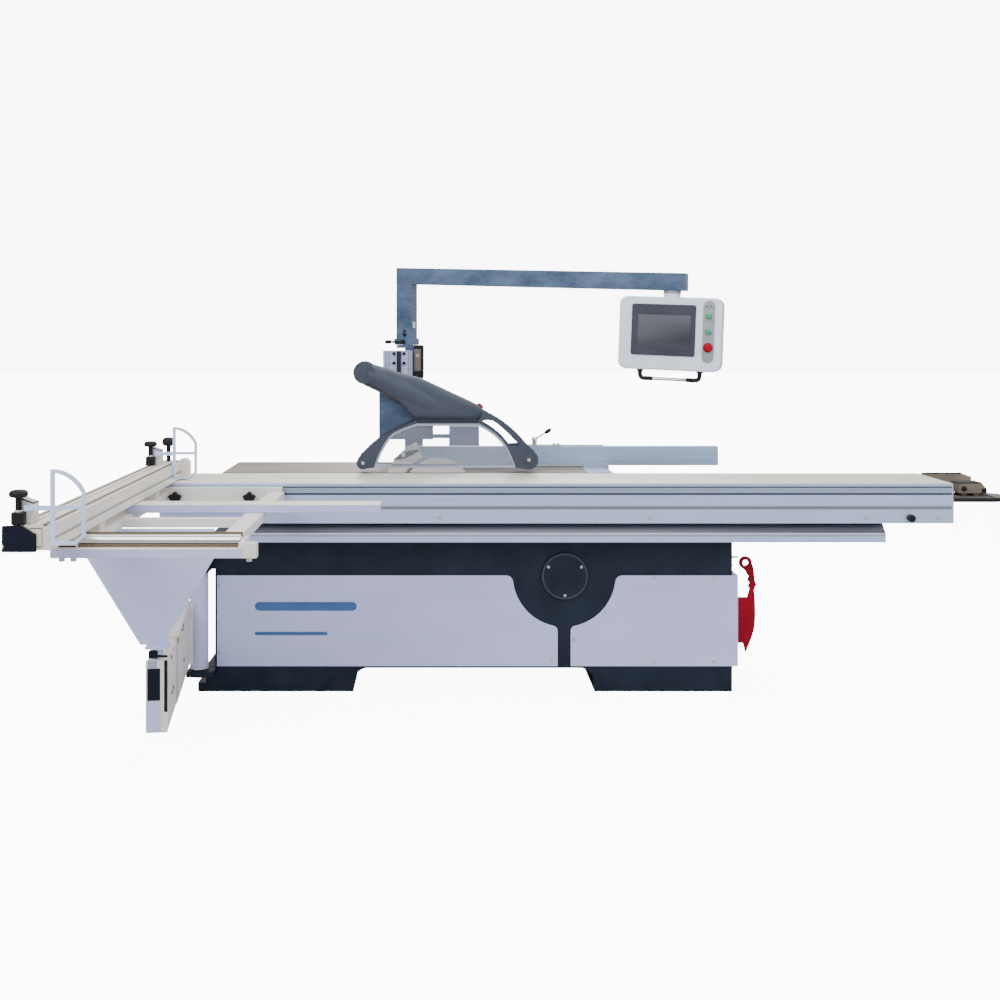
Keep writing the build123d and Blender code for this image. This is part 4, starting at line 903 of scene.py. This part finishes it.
def swing_arm():
    """Side covers with their screws, and the panels on the near end, two of them in painted shade."""
    yaw = math.radians(7)
    arm = Matrix(((math.sin(yaw), math.cos(yaw), 0, ARM_X), (-math.cos(yaw), math.sin(yaw), 0, ARM_Y),
                  (0, 0, 1, 0), (0, 0, 0, 1)))
    middle, half, reach = -0.0743, 0.0365, 0.8473
    foot, head = 0.136, 0.375
    side = middle + half
    cover_y, slide_y = side + 0.0024, side + 0.0006
    slab("arm_side_cover", (0.045, side - 0.0004, foot), (0.552, cover_y, head), "cream_paint", "swing_arm",
         0.001, arm)
    slab("arm_slide_cover", (0.562, middle + 0.0318, 0.140), (reach + 0.018, slide_y, 0.371), "cream_paint",
         "arm_slide", 0.001, arm)
    slab("arm_seam", (0.552, side - 0.001, foot), (0.5575, side + 0.002, head), "shade_grey", "swing_arm",
         0.0004, arm)
    out = arm.to_3x3() @ Vector((0, 1, 0))
    screw = [(0.0075, 0), (0.0075, 0.003), (0.0045, 0.0042)]
    for i, (x, z, body) in enumerate(((0.336, 0.365, "swing_arm"), (0.370, 0.358, "swing_arm"),
                                      (0.311, 0.228, "swing_arm"), (0.706, 0.237, "arm_slide"),
                                      (0.751, 0.232, "arm_slide"), (0.779, 0.362, "arm_slide"))):
        seat = cover_y if body == "swing_arm" else slide_y
        turned(f"arm_screw_{i}", screw, arm @ Vector((x, seat, z)), out, "shade_grey", body, 24)
    turned("arm_grease_cap", [(0.013, 0), (0.013, 0.003), (0.008, 0.005)],
           arm @ Vector((0.534, cover_y, 0.360)), out, "gold", "swing_arm", 24)
    end = reach + 0.026
    # The lower and head faces are cream; pale_paint and band_grey paint shade on them.
    for name, a, b, bottom, top, finish, slot in (
            ("upper", -0.031, 0.011, 0.242, 0.349, "plinth_paint", "black_plastic"),
            ("lower", -0.031, 0.011, foot, 0.2405, "pale_paint", "cream_paint"),
            ("head", -0.029, 0.0005, 0.351, head, "band_grey", "cream_paint"),
            ("slot", 0.0245, 0.0355, 0.203, 0.3765, "plinth_paint", "black_plastic"),
            ("edge", 0.0115, 0.0135, foot, head, "cream_paint", "cream_paint")):
        slab(f"arm_face_{name}", (end - 0.0005, middle + a, bottom), (end + 0.0018, middle + b, top), finish,
             "arm_slide", 0.0005, arm)


def outrigger():
    """Pivot clamp, painted brown reflections of the roller on strips either side of it, the stock bar's top
    skin, and painted shade on the fronts of the stock bar and front tube.
    """
    slab("pivot_clamp", (-1.1005, -1.2640, 0.382), (-1.0713, -1.2420, 0.4065), "plinth_paint", "carriage",
         0.002)
    slab("pivot_rod", (-1.0715, -1.2600, 0.3845), (-1.0380, -1.2520, 0.3915), "plinth_paint", "carriage",
         0.001)
    # Painted reflection: brown strips behind and in front of the roller stand in for its golden sheen.
    slab("roller_back_reflection", (-1.206, -1.632, 0.856), (-0.722, -1.629, 0.8685), "warm_brown", "carriage",
         0.0005)
    slab("roller_front_reflection", (-1.206, -1.6945, 0.8290), (-0.722, -1.6900, 0.8415), "warm_brown", "carriage",
         0.0005)
    bar_low, bar_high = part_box("stock_bar")
    slab("stock_bar_top", (bar_low.x + 0.0005, bar_low.y + 0.0005, bar_high.z - 0.0004),
         (bar_high.x - 0.0005, bar_high.y - 0.0005, bar_high.z + 0.0006), "cream_anodised", "carriage",
         0.0003)
    # Painted shade: the cream stock bar's front face is skinned in lavender.
    slab("stock_bar_front_shade", (bar_low.x + 0.0005, bar_low.y - 0.0006, bar_low.z + 0.002),
         (bar_high.x - 0.0005, bar_low.y + 0.0004, bar_high.z - 0.0015), "pale_paint", "carriage",
         0.0003)
    # Painted shade: the cream front tube's front face is skinned in lavender.
    slab("outrigger_front_shade", (-1.2785, -1.7312, 0.8065), (-0.710, -1.7296, 0.8325), "pale_paint", "carriage",
         0.0004)


def hinge_sleeve():
    """Pale sleeve over the swing arm's hinge column."""
    turned("column_sleeve", [(0.0372, 0), (0.0376, 0.001), (0.0376, 0.387), (0.0372, 0.388)],
           (ARM_X, ARM_Y, 0.112), (0, 0, 1), "pale_paint", "swing_arm")


for place in ("near", "far"):
    flip_stop(place)
fences()
pendant()
table_details()
swing_arm()
outrigger()
hinge_sleeve()
guard()
